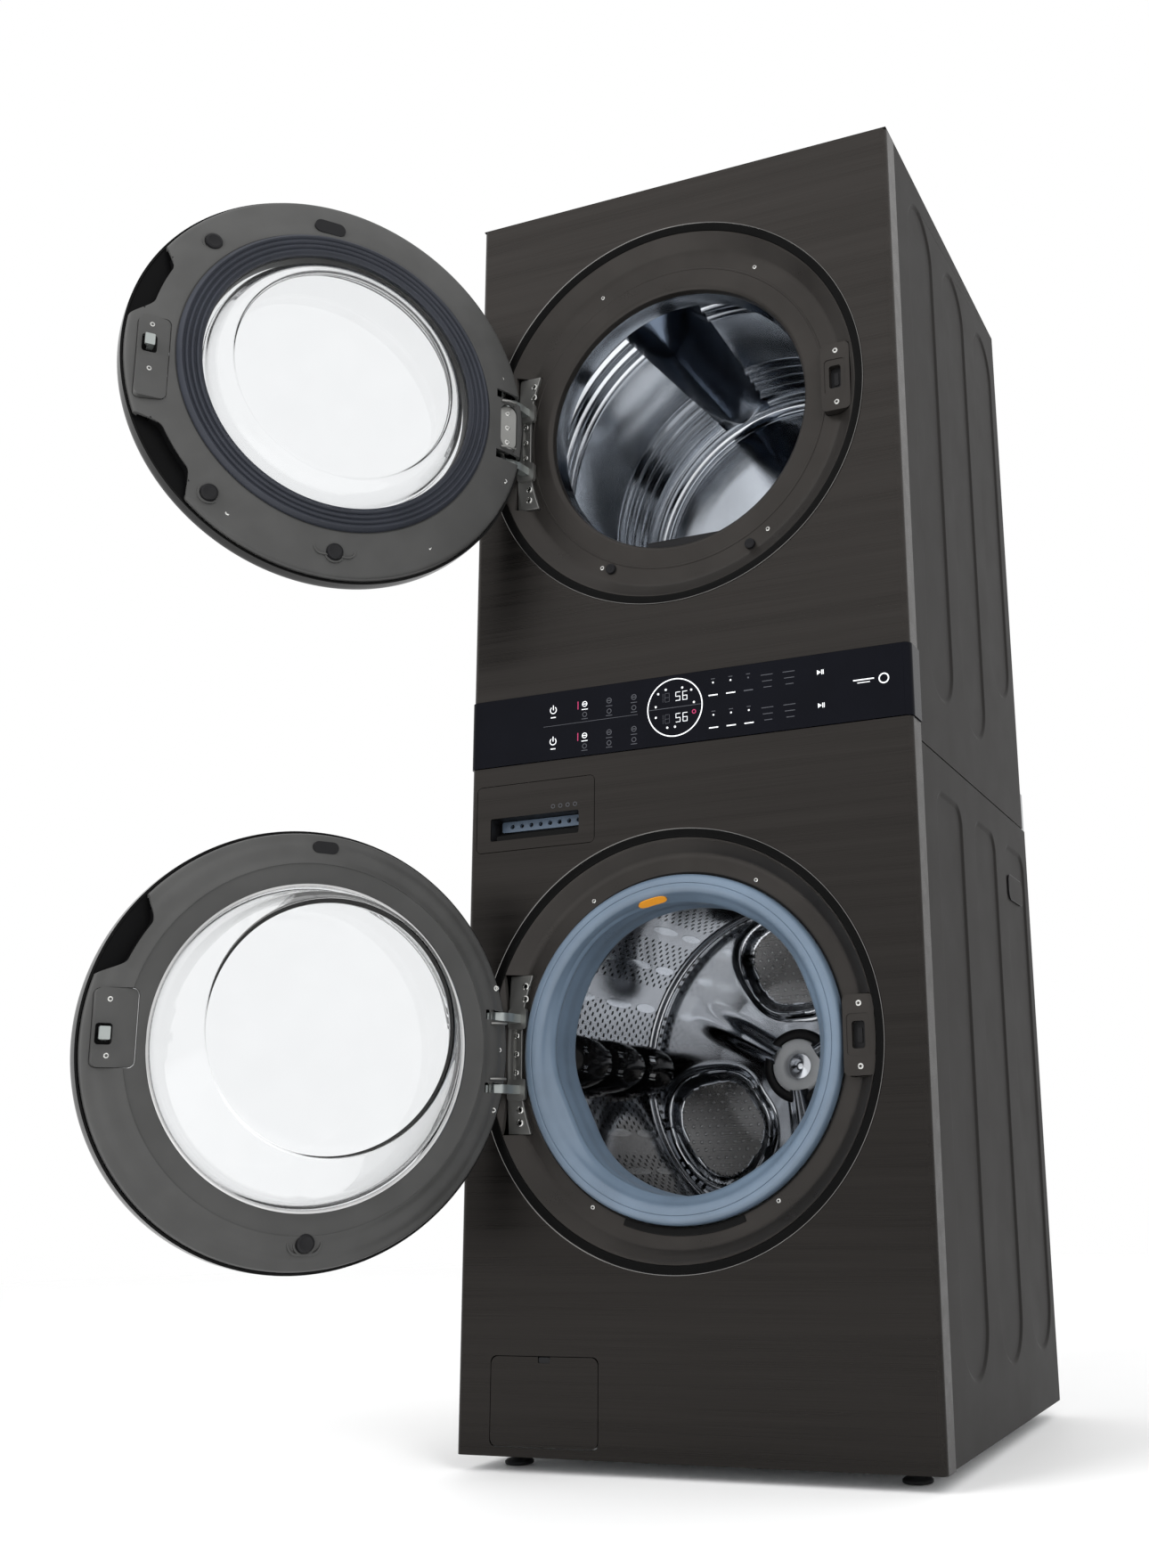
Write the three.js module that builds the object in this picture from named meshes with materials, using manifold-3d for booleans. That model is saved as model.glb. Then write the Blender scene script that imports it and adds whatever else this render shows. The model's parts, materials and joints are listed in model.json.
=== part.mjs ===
// A stacked washer and dryer tower: one cabinet, the dryer above and the washer below, both front loaders.
// Millimetres. While it is drawn, x runs to the right from the cabinet's centre, y runs back from the front
// face and z runs up from the floor. The last lines move the whole tower so that its origin is the bottom
// centre of its bounding box with both doors standing open, as they are stored.
import * as THREE from "three";
import { mergeVertices } from "three/addons/utils/BufferGeometryUtils.js";
import Module from "manifold-3d";

const wasm = await Module();
wasm.setup();

// ---- driving dimensions -------------------------------------------------------------------------------
const GAP = 0.4; // between touching pieces
const RUN = 3; // running clearance beside a piece that turns
const SEGMENTS = 30; // facets round a large ring
const SMALL = 12; // facets round a small cylinder
const CURVE = 2; // half the facets along each rounded corner of an outline

const width = 686;
const height = 1889;
const footHeight = 20;
const lowerDepth = 690;
const upperDepth = 674;
const sheet = 1.5;
const cornerRadius = 9;
const frontFlange = 42; // how far the front panels wrap round the sides
const reveal = 1; // the shut line between neighbouring panels

const fasciaBottom = 977;
const fasciaHeight = 103;
const fasciaProud = 2;
const fasciaThickness = 4;
const seamHeight = 950; // where the washer's sides meet the dryer's

const portX = -15; // both ports sit a little left of centre
const washerPort = { z: 553, ring: 302, chamfer: 289, floor: 262, mouth: 240, depth: 23 };
const dryerPort = { z: height - 387, ring: 309, chamfer: 296, floor: 266, mouth: 209, depth: 22 };
const ringProud = 1.5;
const ringLip = 6; // how much of the ring lies on the panel

const hingeX = portX - 267; // the doors' pins, inside the doors' thickness
const hingeY = -30;
const armHeight = 50; // each arm above or below the port's centre
const armWidth = 12;
const pinRadius = 3.5;
const eyeRadius = pinRadius + 4;
const plateHalf = 112; // half the height of a hinge's plate
const plateThickness = 5;
const washerDoor = { radius: 287, opening: 123.5, glass: 207, end: 166, reach: 78, rise: 18 };
const dryerDoor = { radius: 296, opening: 127, glass: 190, end: 163, reach: 40, rise: 0 };
const bowlWall = 4;
const sealWidth = 38; // the flat band that the dryer door's seal sits on
const doorRim = -22; // where the outer ring meets the inner frame
const doorEdge = -44; // the depth at which a door is widest
const doorFace = -64;
const faceIn = 6; // the inner frame's flat, which faces the port
const windowRadius = 226;
const latchReach = 262; // the striker's distance from the port's centre
const latchPlate = { near: 20, far: 24, bottom: -52, top: 54, front: faceIn + 1, back: 24 };
const latchMouth = { near: 8, far: 10, bottom: -17, top: 19 };

const tubRadius = 300;
const tubFront = 96;
const tubBack = 560;
const tubWall = 4;
const tubSplit = 250; // where the tub's halves meet
const bearingRadius = 36;
const shaftRadius = 15;
const lifterRise = 62;
const baffleRise = 88;
const spring = { x: 238, y: 364, radius: 11, wire: 2.6, turns: 5, length: 112 };
const damper = { barrel: 16, plunger: 7, barrelLength: 110, length: 210 };
const washerDrum = { radius: 272, mouth: 214, front: 108, back: 530, wall: 3 };
const dryerDrum = { radius: 306, mouth: 232, front: 76, back: 618, wall: 3 };
const neckDepth = 72; // how far the dryer's port reaches in

const half = width / 2;
const drawer = {
  x0: -half + 12, x1: -half + 206, z0: fasciaBottom - 129, z1: fasciaBottom - 30, corner: 7, tray: 300,
};
const trayMargin = 14; // from the drawer's edges to its tray
const trayWall = 2;
const shell = 2.5; // the drawer housing's wall
const housingGap = 2;
const pumpDoor = { x0: -half + 53, x1: -half + 215, z0: footHeight + 13, z1: footHeight + 127, corner: 11 };
const frontThickness = 3; // of the drawer's front and the pump's door
const filterRadius = 27;
const pump = { z: footHeight + 72, front: 34, sleeve: 92, length: 190 };
const valve = { x: 236, z: 892, apart: 52, radius: 13, reach: 16, depth: 62 };
const footRadius = 20;
const footInset = 58;
const studRadius = 5;
const boreGap = 0.35; // round a pin or a stud

const handHold = { y0: 542, y1: 642, z0: 810, z1: 850 };
const ribDepth = 3;
const dryerRibs = [
  { y0: 101, y1: 242, z0: 1040, z1: height - 34 },
  { y0: 302, y1: 442, z0: 1035, z1: height - 39 },
  { y0: 505, y1: 642, z0: 1160, z1: height - 44 },
];
const washerRibs = [
  { y0: 105, y1: 249, z0: 106, z1: 901 },
  { y0: 320, y1: 459, z0: 106, z1: 901 },
  { y0: 520, y1: 665, z0: 106, z1: 901 },
];

const exhaust = { x: 0, z: 1060, radius: 51, reach: 34, wall: 1.5 };
const motor = { x: 190, y: 480, z: 1035, radius: 52, length: 80 };
const blower = { x: -10, y: 470, z: 1060, radius: 82, width: 46 };
const rollerRadius = 30;
const rollerAngle = 38; // degrees either side of straight down
const axleRadius = 6;
const pulleyRadius = 14;
const beltWidth = 12;
const beltThickness = 2;
const beltClear = 2; // a running belt is drawn just clear of what it turns
const filterSlot = { y0: 54, y1: 66, halfWidth: 84, top: -186, bottom: -380 };

// ---- worked out from them -----------------------------------------------------------------------------
const inner = half - sheet - GAP;
const top = height - sheet;
const fasciaTop = fasciaBottom + fasciaHeight;
const ribStep = sheet + ribDepth + GAP;

// ---- finishes -----------------------------------------------------------------------------------------
function paint(color, roughness, metalness) {
  return new THREE.MeshStandardMaterial({ color, roughness, metalness });
}
const stainless = paint(0x4b4743, 0.36, 0.9);
const sidePaint = paint(0x2b2826, 0.5, 0.4);
const galvanised = paint(0x9b9d9e, 0.45, 0.8);
const blackGlass = paint(0x0b0c11, 0.08, 0.1);
const ringPlastic = paint(0x3a3634, 0.4, 0.2);
const doorPlastic = paint(0x4c4c4b, 0.45, 0.1);
const doorRing = paint(0x1b1a1a, 0.2, 0.4);
const clearGlass = paint(0xe8eef0, 0.05, 0);
clearGlass.transparent = true;
clearGlass.opacity = 0.35;
const slateRubber = paint(0x4a4f57, 0.6, 0);
const paleRubber = paint(0x8fa0b2, 0.55, 0);
const castMetal = paint(0x8c8d8c, 0.42, 0.9);
const steel = paint(0xb9bcc0, 0.22, 1);
const tubPlastic = paint(0xc9c9c4, 0.6, 0);
const darkPlastic = paint(0x222326, 0.5, 0);
const blackRubber = paint(0x18181a, 0.75, 0);
const concrete = paint(0x9a968e, 0.9, 0);
const copper = paint(0xb06a3a, 0.4, 0.9);
const circuitGreen = paint(0x1f4a34, 0.5, 0.1);

// ---- solids -------------------------------------------------------------------------------------------
function solid(geometry) {
  const bare = geometry.clone();
  bare.deleteAttribute("normal");
  bare.deleteAttribute("uv");
  const merged = mergeVertices(bare, 1e-3);
  const build = (triVerts) =>
    new wasm.Manifold(
      new wasm.Mesh({ numProp: 3, vertProperties: merged.attributes.position.array, triVerts }),
    );
  const faces = new Uint32Array(merged.index.array);
  const made = build(faces);
  if (made.volume() > 0) return made;
  for (let i = 0; i < faces.length; i += 3) [faces[i + 1], faces[i + 2]] = [faces[i + 2], faces[i + 1]];
  return build(faces);
}
const join = (first, ...rest) => rest.reduce((whole, piece) => whole.add(piece), first);
const cut = (first, ...rest) => rest.reduce((whole, piece) => whole.subtract(piece), first);
const place = (body, x, y, z) => body.translate([x, y, z]);

function block(x0, x1, y0, y1, z0, z1) {
  const box = new THREE.BoxGeometry(x1 - x0, y1 - y0, z1 - z0);
  return solid(box.translate((x0 + x1) / 2, (y0 + y1) / 2, (z0 + z1) / 2));
}
// A ring or a disc turned about the y axis. Each point is a radius and a depth.
function turned(points, segments = SEGMENTS) {
  const onAxis = points[0][0] === 0 && points.at(-1)[0] === 0;
  const closed = onAxis ? points : [...points, points[0]];
  return solid(new THREE.LatheGeometry(closed.map(([r, y]) => new THREE.Vector2(r, y)), segments));
}
function rod(radius, y0, y1, segments = SMALL) {
  return turned([[0, y0], [radius, y0], [radius, y1], [0, y1]], segments);
}
function tube(outer, bore, y0, y1, segments = SEGMENTS) {
  return turned([[bore, y0], [outer, y0], [outer, y1], [bore, y1]], segments);
}
const upright = (body) => body.rotate([90, 0, 0]); // turns a y axis to point up
// A flat outline, pushed along one axis: "y" takes x and z, "x" takes y and z, "z" takes x and y.
function pushed(outline, axis, from, to, holes = []) {
  const shape = outline instanceof THREE.Shape ? outline : new THREE.Shape(outline);
  shape.holes.push(...holes);
  const options = { depth: to - from, bevelEnabled: false, curveSegments: CURVE };
  const geometry = new THREE.ExtrudeGeometry(shape, options);
  if (axis === "y") geometry.rotateX(Math.PI / 2).translate(0, to, 0);
  if (axis === "x") {
    const turn = new THREE.Matrix4().makeBasis(
      new THREE.Vector3(0, 1, 0), new THREE.Vector3(0, 0, 1), new THREE.Vector3(1, 0, 0),
    );
    geometry.applyMatrix4(turn).translate(from, 0, 0);
  }
  if (axis === "z") geometry.translate(0, 0, from);
  return solid(geometry);
}
function rounded(a0, a1, b0, b1, radius) {
  const shape = new THREE.Shape();
  shape.moveTo(a0 + radius, b0).lineTo(a1 - radius, b0);
  shape.absarc(a1 - radius, b0 + radius, radius, -Math.PI / 2, 0);
  shape.lineTo(a1, b1 - radius).absarc(a1 - radius, b1 - radius, radius, 0, Math.PI / 2);
  shape.lineTo(a0 + radius, b1).absarc(a0 + radius, b1 - radius, radius, Math.PI / 2, Math.PI);
  shape.lineTo(a0, b0 + radius).absarc(a0 + radius, b0 + radius, radius, Math.PI, 1.5 * Math.PI);
  return shape;
}
function around(count, start, make) {
  return Array.from({ length: count }, (_, i) => make((start + (360 * i) / count) * (Math.PI / 180)));
}

const tower = new THREE.Group();
const drawn = new THREE.Group();
tower.add(drawn);
function add(name, body, material, parent = drawn) {
  const { vertProperties, numProp, numVert, triVerts } = body.getMesh();
  const positions = new Float32Array(numVert * 3);
  for (let i = 0; i < numVert; i++) {
    positions.set(vertProperties.subarray(i * numProp, i * numProp + 3), 3 * i);
  }
  const geometry = new THREE.BufferGeometry();
  geometry.setAttribute("position", new THREE.BufferAttribute(positions, 3));
  geometry.setIndex(new THREE.BufferAttribute(new Uint32Array(triVerts), 1));
  const mesh = new THREE.Mesh(geometry.toNonIndexed(), material);
  mesh.geometry.computeVertexNormals();
  mesh.name = name;
  parent.add(mesh);
  return mesh;
}

// ---- cabinet ------------------------------------------------------------------------------------------
// The front panels and the control band are one U-shaped section with round corners, pushed up.
function wrap(proud, thickness, back, z0, z1) {
  const x = half + proud;
  const r = cornerRadius + proud;
  const shape = new THREE.Shape();
  shape.moveTo(-x, back).lineTo(-x, r - proud);
  shape.absarc(-x + r, r - proud, r, Math.PI, 1.5 * Math.PI);
  shape.lineTo(x - r, -proud).absarc(x - r, r - proud, r, -Math.PI / 2, 0);
  shape.lineTo(x, back).lineTo(x - thickness, back).lineTo(x - thickness, r - proud);
  shape.absarc(x - r, r - proud, r - thickness, 0, -Math.PI / 2, true);
  shape.lineTo(-x + r, thickness - proud);
  shape.absarc(-x + r, r - proud, r - thickness, 1.5 * Math.PI, Math.PI, true);
  shape.lineTo(-x + thickness, back);
  return pushed(shape, "z", z0, z1);
}
const portHole = (port) => place(rod(port.ring - ringLip + GAP, -9, 9, SEGMENTS), portX, 0, port.z);
function doorHole({ x0, x1, z0, z1, corner }) {
  const outline = rounded(x0 - reveal, x1 + reveal, z0 - reveal, z1 + reveal, corner + reveal);
  return pushed(outline, "y", -5, 9);
}
add(
  "front_panel_dryer",
  cut(wrap(0, sheet, frontFlange, fasciaTop + reveal, top - GAP), portHole(dryerPort)),
  stainless,
);
add(
  "front_panel_washer",
  cut(
    wrap(0, sheet, frontFlange, footHeight, fasciaBottom - reveal),
    portHole(washerPort), doorHole(drawer), doorHole(pumpDoor),
  ),
  stainless,
);
add("control_fascia", wrap(fasciaProud, fasciaThickness, frontFlange, fasciaBottom, fasciaTop), blackGlass);
const boardFront = fasciaThickness - fasciaProud + 8;
const boardHalf = half - 83;
const board = block(-boardHalf, boardHalf, boardFront, boardFront + 3, fasciaBottom + 12, fasciaTop - 12);
const boardHousing = block(-180, 180, boardFront + 3, boardFront + 22, fasciaBottom + 18, fasciaTop - 18);
add("control_board", join(board, boardHousing), circuitGreen);

// A pressed rib's outline: round at the bottom. At the top it is round, or on the washer nearly square.
function stadium(rib, grow) {
  const squareTop = rib.z1 < seamHeight;
  const r = (rib.y1 - rib.y0) / 2 + grow;
  const shape = new THREE.Shape();
  const c = (rib.y0 + rib.y1) / 2;
  const crown = squareTop ? 34 + grow : r;
  shape.moveTo(c - r, rib.z0 + r - grow);
  shape.absarc(c, rib.z0 + r - grow, r, Math.PI, 2 * Math.PI);
  const crownZ = rib.z1 + grow - crown;
  shape.lineTo(c + r, crownZ).absarc(c + r - crown, crownZ, crown, 0, Math.PI / 2);
  if (squareTop) shape.lineTo(c - r + crown, rib.z1 + grow);
  shape.absarc(c - r + crown, crownZ, crown, Math.PI / 2, Math.PI);
  return shape;
}
function sidePanel(side, depth, z0, z1, ribs, slot) {
  let panel = block(half - sheet, half, frontFlange + GAP, depth, z0, z1);
  for (const rib of ribs) {
    const pad = pushed(stadium(rib, 0), "x", half - sheet - ribDepth, half - sheet / 2);
    const pocket = pushed(stadium(rib, -2 * sheet), "x", half - ribDepth, half + 5);
    panel = cut(join(panel, pad), pocket);
  }
  if (slot) {
    const hole = rounded(handHold.y0, handHold.y1, handHold.z0, handHold.z1, 14);
    panel = cut(panel, pushed(hole, "x", half - 20, half + 5));
  }
  return side < 0 ? panel.mirror([1, 0, 0]) : panel;
}
for (const [hand, side] of [["left", -1], ["right", 1]]) {
  const dryerSide = sidePanel(side, upperDepth, seamHeight + reveal, top - GAP, dryerRibs, false);
  const washerSide = sidePanel(side, lowerDepth, footHeight + 2, seamHeight - reveal, washerRibs, true);
  add("side_panel_dryer_" + hand, dryerSide, sidePaint);
  add("side_panel_washer_" + hand, washerSide, sidePaint);
}
const innerSide = half - ribStep;
const lid = block(-half, half, sheet, upperDepth, top, height);
const lidLip = block(innerSide - sheet, innerSide, frontFlange, upperDepth - 30, top - 24, top);
add("top_cover", join(lid, lidLip, lidLip.mirror([1, 0, 0])), sidePaint);
const ductHole = place(
  rod(exhaust.radius + 2 * GAP, upperDepth - 20, upperDepth + 20, 24), exhaust.x, 0, exhaust.z,
);
add(
  "rear_panel_dryer",
  cut(
    block(-inner, inner, upperDepth - sheet, upperDepth, seamHeight + reveal + 6, top - GAP),
    ductHole,
  ),
  galvanised,
);
const motorCover = turned([[0, 0], [190, 0], [190, 2], [176, 9], [0, 9]]);
const inletPlaces = [-1, 1].map((side) => valve.x + (side * valve.apart) / 2);
const inletHoles = inletPlaces.map((x) =>
  place(rod(valve.radius + GAP, lowerDepth - 20, lowerDepth + 20), x, 0, valve.z),
);
add(
  "rear_panel_washer",
  cut(
    join(
      block(-inner, inner, lowerDepth - sheet, lowerDepth, footHeight + 4, seamHeight - 6),
      place(motorCover, portX, lowerDepth - sheet / 2, washerPort.z),
    ),
    ...inletHoles,
  ),
  galvanised,
);
const panTop = footHeight + 16;
const footX = half - footInset;
const footY = [footInset + 14, lowerDepth - footInset];
const footPlaces = [[-footX, footY[0]], [footX, footY[0]], [-footX, footY[1]], [footX, footY[1]]];
const panEdge = innerSide - GAP;
let pan = cut(
  block(-panEdge, panEdge, 6, lowerDepth - 6, footHeight + 1, panTop),
  block(-panEdge + 3, panEdge - 3, 9, lowerDepth - 9, footHeight + 4, panTop + 5),
);
for (const [x, y] of footPlaces) {
  pan = join(pan, place(upright(rod(16, footHeight + 1, panTop + 10)), x, y, 0));
}
for (const [x, y] of footPlaces) {
  pan = cut(pan, place(upright(rod(studRadius + boreGap, 0, panTop + 30)), x, y, 0));
}
add("base_pan", pan, galvanised);

// The tray that the dryer stands on, with the two brackets that tie the halves together at the back.
const trayZ = seamHeight + 8;
const tieHeight = 66;
const tie = join(
  block(half - 42, half - 2, upperDepth + GAP, lowerDepth + 6, seamHeight + reveal, seamHeight + tieHeight),
  block(half - 36, half - 6, upperDepth - 20, lowerDepth, seamHeight + 2, seamHeight + 6),
);
const bareTray = cut(
  join(
    block(-panEdge, panEdge, frontFlange + 4, upperDepth - 6, trayZ - 6, trayZ),
    block(-panEdge, panEdge, frontFlange + 4, frontFlange + 7, trayZ - 5, trayZ + 12),
    tie,
    tie.mirror([1, 0, 0]),
  ),
  block(-240, 240, 140, 400, trayZ - 20, trayZ + 20),
);

// The hinge plate's outline is straight towards the cabinet's side and hollowed towards the port.
function hingePlate(grow) {
  const outside = hingeX - portX + 2 - grow;
  const tip = outside + 36 + 2 * grow;
  const waist = outside + 20 + 2 * grow;
  const end = plateHalf + grow;
  const shape = new THREE.Shape();
  shape.moveTo(outside, end).lineTo(tip, end).quadraticCurveTo(waist, end * 0.55, waist, 0);
  shape.quadraticCurveTo(waist, -end * 0.55, tip, -end).lineTo(outside, -end);
  return shape;
}

// ---- ports --------------------------------------------------------------------------------------------
// A dished ring: a lip on the panel, a chamfer, a long curve back and a flat floor round the mouth.
function dish(port, neck) {
  const body = port.ring - ringLip;
  const back = port.depth + 3;
  return turned([
    [port.ring, -GAP],
    [port.ring - 1.5, -ringProud],
    [port.ring - 4, -ringProud],
    [port.chamfer, port.depth * 0.3],
    [(port.chamfer + port.floor) / 2, port.depth * 0.72],
    [port.floor, port.depth],
    [port.mouth, port.depth],
    ...neck,
    [port.floor - 1, back],
    [body - 12, port.depth * 0.75],
    [body, port.depth * 0.42],
    [body, -GAP],
  ]);
}
const hingePocket = (port) =>
  place(pushed(hingePlate(GAP), "y", -5, port.depth), portX, 0, port.z);
function latchPocket(port) {
  const { near, far, bottom, top: upper, front } = latchPlate;
  const pocket = block(
    latchReach - near - GAP, latchReach + far + GAP, front - GAP, 50, bottom - GAP, upper + GAP,
  );
  return place(pocket, portX, 0, port.z);
}
const neckOuter = dryerPort.mouth + 4;
const dryerNeck = [[dryerPort.mouth, neckDepth], [neckOuter, neckDepth], [neckOuter, dryerPort.depth + 3]];
const washerNeck = [[washerPort.mouth, washerPort.depth + 3]];
const neckSlot = block(
  -filterSlot.halfWidth - 1, filterSlot.halfWidth + 1, filterSlot.y0 - 1, filterSlot.y1 + 1, -230, -150,
);
add(
  "port_ring_dryer",
  cut(
    place(cut(dish(dryerPort, dryerNeck), neckSlot), portX, 0, dryerPort.z),
    latchPocket(dryerPort), hingePocket(dryerPort),
  ),
  ringPlastic,
);
add(
  "port_ring_washer",
  cut(
    place(dish(washerPort, washerNeck), portX, 0, washerPort.z),
    latchPocket(washerPort), hingePocket(washerPort),
  ),
  ringPlastic,
);

function latch(name, port) {
  const { near, far, bottom, top: upper, front, back } = latchPlate;
  const plate = pushed(rounded(latchReach - near, latchReach + far, bottom, upper, 8), "y", front, back);
  const lock = block(latchReach - 14, latchReach + 16, back, back + 20, -34, 34);
  const mouth = block(
    latchReach - latchMouth.near, latchReach + latchMouth.far, 0, back + 14,
    latchMouth.bottom, latchMouth.top,
  );
  add(name, place(cut(join(plate, lock), mouth), portX, 0, port.z), ringPlastic);
}
latch("door_latch_dryer", dryerPort);
latch("door_latch_washer", washerPort);

// ---- hinges -------------------------------------------------------------------------------------------
// A cast plate on the port's floor carries two bent arms. Each arm ends in an eye round the door's pin.
function hinge(name, port) {
  const centre = hingeX - portX;
  const floor = port.depth - GAP;
  let body = pushed(hingePlate(0), "y", floor - plateThickness, floor);
  for (const z of [-armHeight, armHeight]) {
    const outline = [
      [centre - 4, hingeY + 4], [centre + 4, hingeY - 1], [centre + 21, -1], [centre + 24, floor - 3],
      [centre + 12, floor - 3], [centre + 11, 3],
    ].map(([x, y]) => new THREE.Vector2(x, y));
    const arm = pushed(outline, "z", z - armWidth / 2, z + armWidth / 2);
    const eye = place(upright(rod(eyeRadius, -armWidth / 2, armWidth / 2)), centre, hingeY, z);
    const bore = place(upright(rod(pinRadius + boreGap, -armWidth, armWidth)), centre, hingeY, z);
    body = cut(join(body, arm, eye), bore);
  }
  add(name, place(body, portX, 0, port.z), castMetal);
}
hinge("hinge_bracket_dryer", dryerPort);
hinge("hinge_bracket_washer", washerPort);

// ---- doors --------------------------------------------------------------------------------------------
// A door is drawn shut, about the port's centre, in a group that turns about its hinge pin.
function fingerCut(radius, fromAngle, toAngle) {
  const a = THREE.MathUtils.degToRad(fromAngle);
  const b = THREE.MathUtils.degToRad(toAngle);
  const inside = radius - 30;
  const shape = new THREE.Shape();
  shape.moveTo((radius + 4) * Math.cos(a), (radius + 4) * Math.sin(a));
  shape.absarc(0, 0, radius + 4, a, b);
  const middle = (a + b) / 2;
  shape.quadraticCurveTo(
    inside * Math.cos(middle + 0.12), inside * Math.sin(middle + 0.12),
    inside * Math.cos(middle), inside * Math.sin(middle),
  );
  shape.quadraticCurveTo(
    inside * Math.cos(middle - 0.12), inside * Math.sin(middle - 0.12),
    (radius + 4) * Math.cos(a), (radius + 4) * Math.sin(a),
  );
  return pushed(shape, "y", doorRim - 0.5, 20);
}
function door(kind, port, spec, fingerCuts) {
  const pivot = new THREE.Group();
  pivot.position.set(hingeX, hingeY, port.z);
  pivot.rotation.z = THREE.MathUtils.degToRad(-spec.opening);
  drawn.add(pivot);
  const shut = new THREE.Group();
  shut.position.set(portX - hingeX, -hingeY, 0);
  pivot.add(shut);
  const R = spec.radius;
  const armX = hingeX - portX;

  const slots = [-armHeight, armHeight].map((z) =>
    block(-R - 5, armX + 24, doorEdge + 3, 20, z - armWidth / 2 - RUN, z + armWidth / 2 + RUN),
  );
  const outer = turned([
    [0, doorFace - 1], [windowRadius, doorFace], [R - 34, doorFace + 2], [R - 12, doorFace + 8],
    [R, doorEdge],
    [R, doorRim], [R - 3, doorRim], [R - 3, doorEdge + 1], [R - 14, doorFace + 11], [R - 35, doorFace + 5],
    [windowRadius, doorFace + 4], [0, doorFace + 3],
  ]);
  add("outer_cover_" + kind, cut(outer, ...slots), doorRing, shut);
  const seat = spec.glass + 4;
  const frame = turned([
    [seat, -14], [seat, faceIn], [seat + sealWidth - 2, faceIn], [latchReach, -2], [R - 14, -8], [R - 4, -13],
    [R - 4, doorRim + GAP], [R - 30, doorRim + GAP],
  ]);
  const cuts = fingerCuts.map(([from, to]) => fingerCut(R, from, to));

  const wallMiddle = (spec.end + spec.glass) / 2;
  const bowl = new THREE.LatheGeometry(
    [
      [0, spec.reach], [spec.end * 0.8, spec.reach - 1], [spec.end, spec.reach - 6],
      [wallMiddle, spec.reach * 0.55], [spec.glass - 3, 4], [spec.glass, -14],
      [spec.glass + 3, -15], [spec.glass + 3, -19], [spec.glass - 5, -19], [spec.glass - 8, 3],
      [wallMiddle - bowlWall - 1, spec.reach * 0.5], [spec.end - bowlWall - 1, spec.reach - 11],
      [spec.end * 0.8, spec.reach - bowlWall - 1], [0, spec.reach - bowlWall],
    ].map(([r, y]) => new THREE.Vector2(r, y)),
    SEGMENTS,
  );
  const points = bowl.attributes.position;
  for (let i = 0; i < points.count; i++) {
    const share = Math.max(0, points.getY(i) - 4) / spec.reach;
    points.setZ(i, points.getZ(i) + spec.rise * share);
  }
  add("glass_bowl_" + kind, solid(bowl), clearGlass, shut);

  const hook = join(
    block(latchReach - 3, latchReach + 1, -12, 20, -9, 9),
    block(latchReach - 3, latchReach + 6, 15, 20, -9, 9),
  );
  add("inner_frame_" + kind, join(cut(frame, ...slots, ...cuts), hook), doorPlastic, shut);

  const pinBlock = block(armX - 9, armX + 26, hingeY - 8, doorRim - 1, -armHeight + 14, armHeight - 14);
  const pin = place(upright(rod(pinRadius, -armHeight - 20, armHeight + 20)), armX, hingeY, 0);
  add("hinge_pin_" + kind, join(pinBlock, pin), castMetal, shut);
  return shut;
}
const dryerDoorShut = door("dryer", dryerPort, dryerDoor, [[5, 35], [-50, -18]]);
door("washer", washerPort, washerDoor, [[14, 43]]);
const sealInside = dryerDoor.glass + 5;
const sealOutside = dryerDoor.glass + sealWidth;
add(
  "door_seal_dryer",
  turned([
    [sealInside, faceIn + GAP], [sealOutside, faceIn + GAP], [sealOutside, 13],
    [sealOutside - 8, 18], [sealOutside - 14, 15], [sealOutside - 20, 18], [sealOutside - 26, 15],
    [sealInside, 17],
  ]),
  slateRubber, dryerDoorShut,
);

// ---- washer -------------------------------------------------------------------------------------------
const washer = new THREE.Group();
washer.position.set(portX, 0, washerPort.z);
drawn.add(washer);

const gasketOuter = washerPort.mouth - GAP;
add(
  "door_gasket",
  turned([
    [gasketOuter, 26], [gasketOuter - 4, 13], [gasketOuter - 18, 9], [gasketOuter - 34, 16],
    [gasketOuter - 40, 28], [gasketOuter - 22, 44], [gasketOuter - 30, 56], [gasketOuter - 24, 68],
    [gasketOuter - 38, tubFront + 4], [gasketOuter - 28, tubFront + 4], [gasketOuter - 14, 70],
    [gasketOuter - 20, 56], [gasketOuter - 8, 42],
  ]),
  paleRubber, washer,
);
const tubMouth = gasketOuter - 26 + GAP;
add(
  "tub_front",
  turned([
    [tubMouth, tubFront], [tubMouth + 10, tubFront], [tubRadius, tubFront + 8], [tubRadius, tubSplit - GAP],
    [tubRadius - tubWall, tubSplit - GAP], [tubRadius - tubWall, tubFront + 12],
    [tubMouth, tubFront + tubWall],
  ]),
  tubPlastic, washer,
);
add(
  "tub_rear",
  turned([
    [tubRadius, tubSplit], [tubRadius, tubBack - 20], [tubRadius - 20, tubBack],
    [bearingRadius + 20, tubBack],
    [bearingRadius + 14, tubBack + 26], [shaftRadius + 1, tubBack + 26], [shaftRadius + 1, tubBack - 18],
    [bearingRadius + 20, tubBack - 18], [bearingRadius + 40, tubBack - tubWall - 4],
    [tubRadius - 22, tubBack - tubWall - 4], [tubRadius - tubWall, tubBack - 24],
    [tubRadius - tubWall, tubSplit],
  ]),
  tubPlastic, washer,
);
const drumInside = washerDrum.radius - washerDrum.wall;
const drumBack = washerDrum.back;
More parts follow.
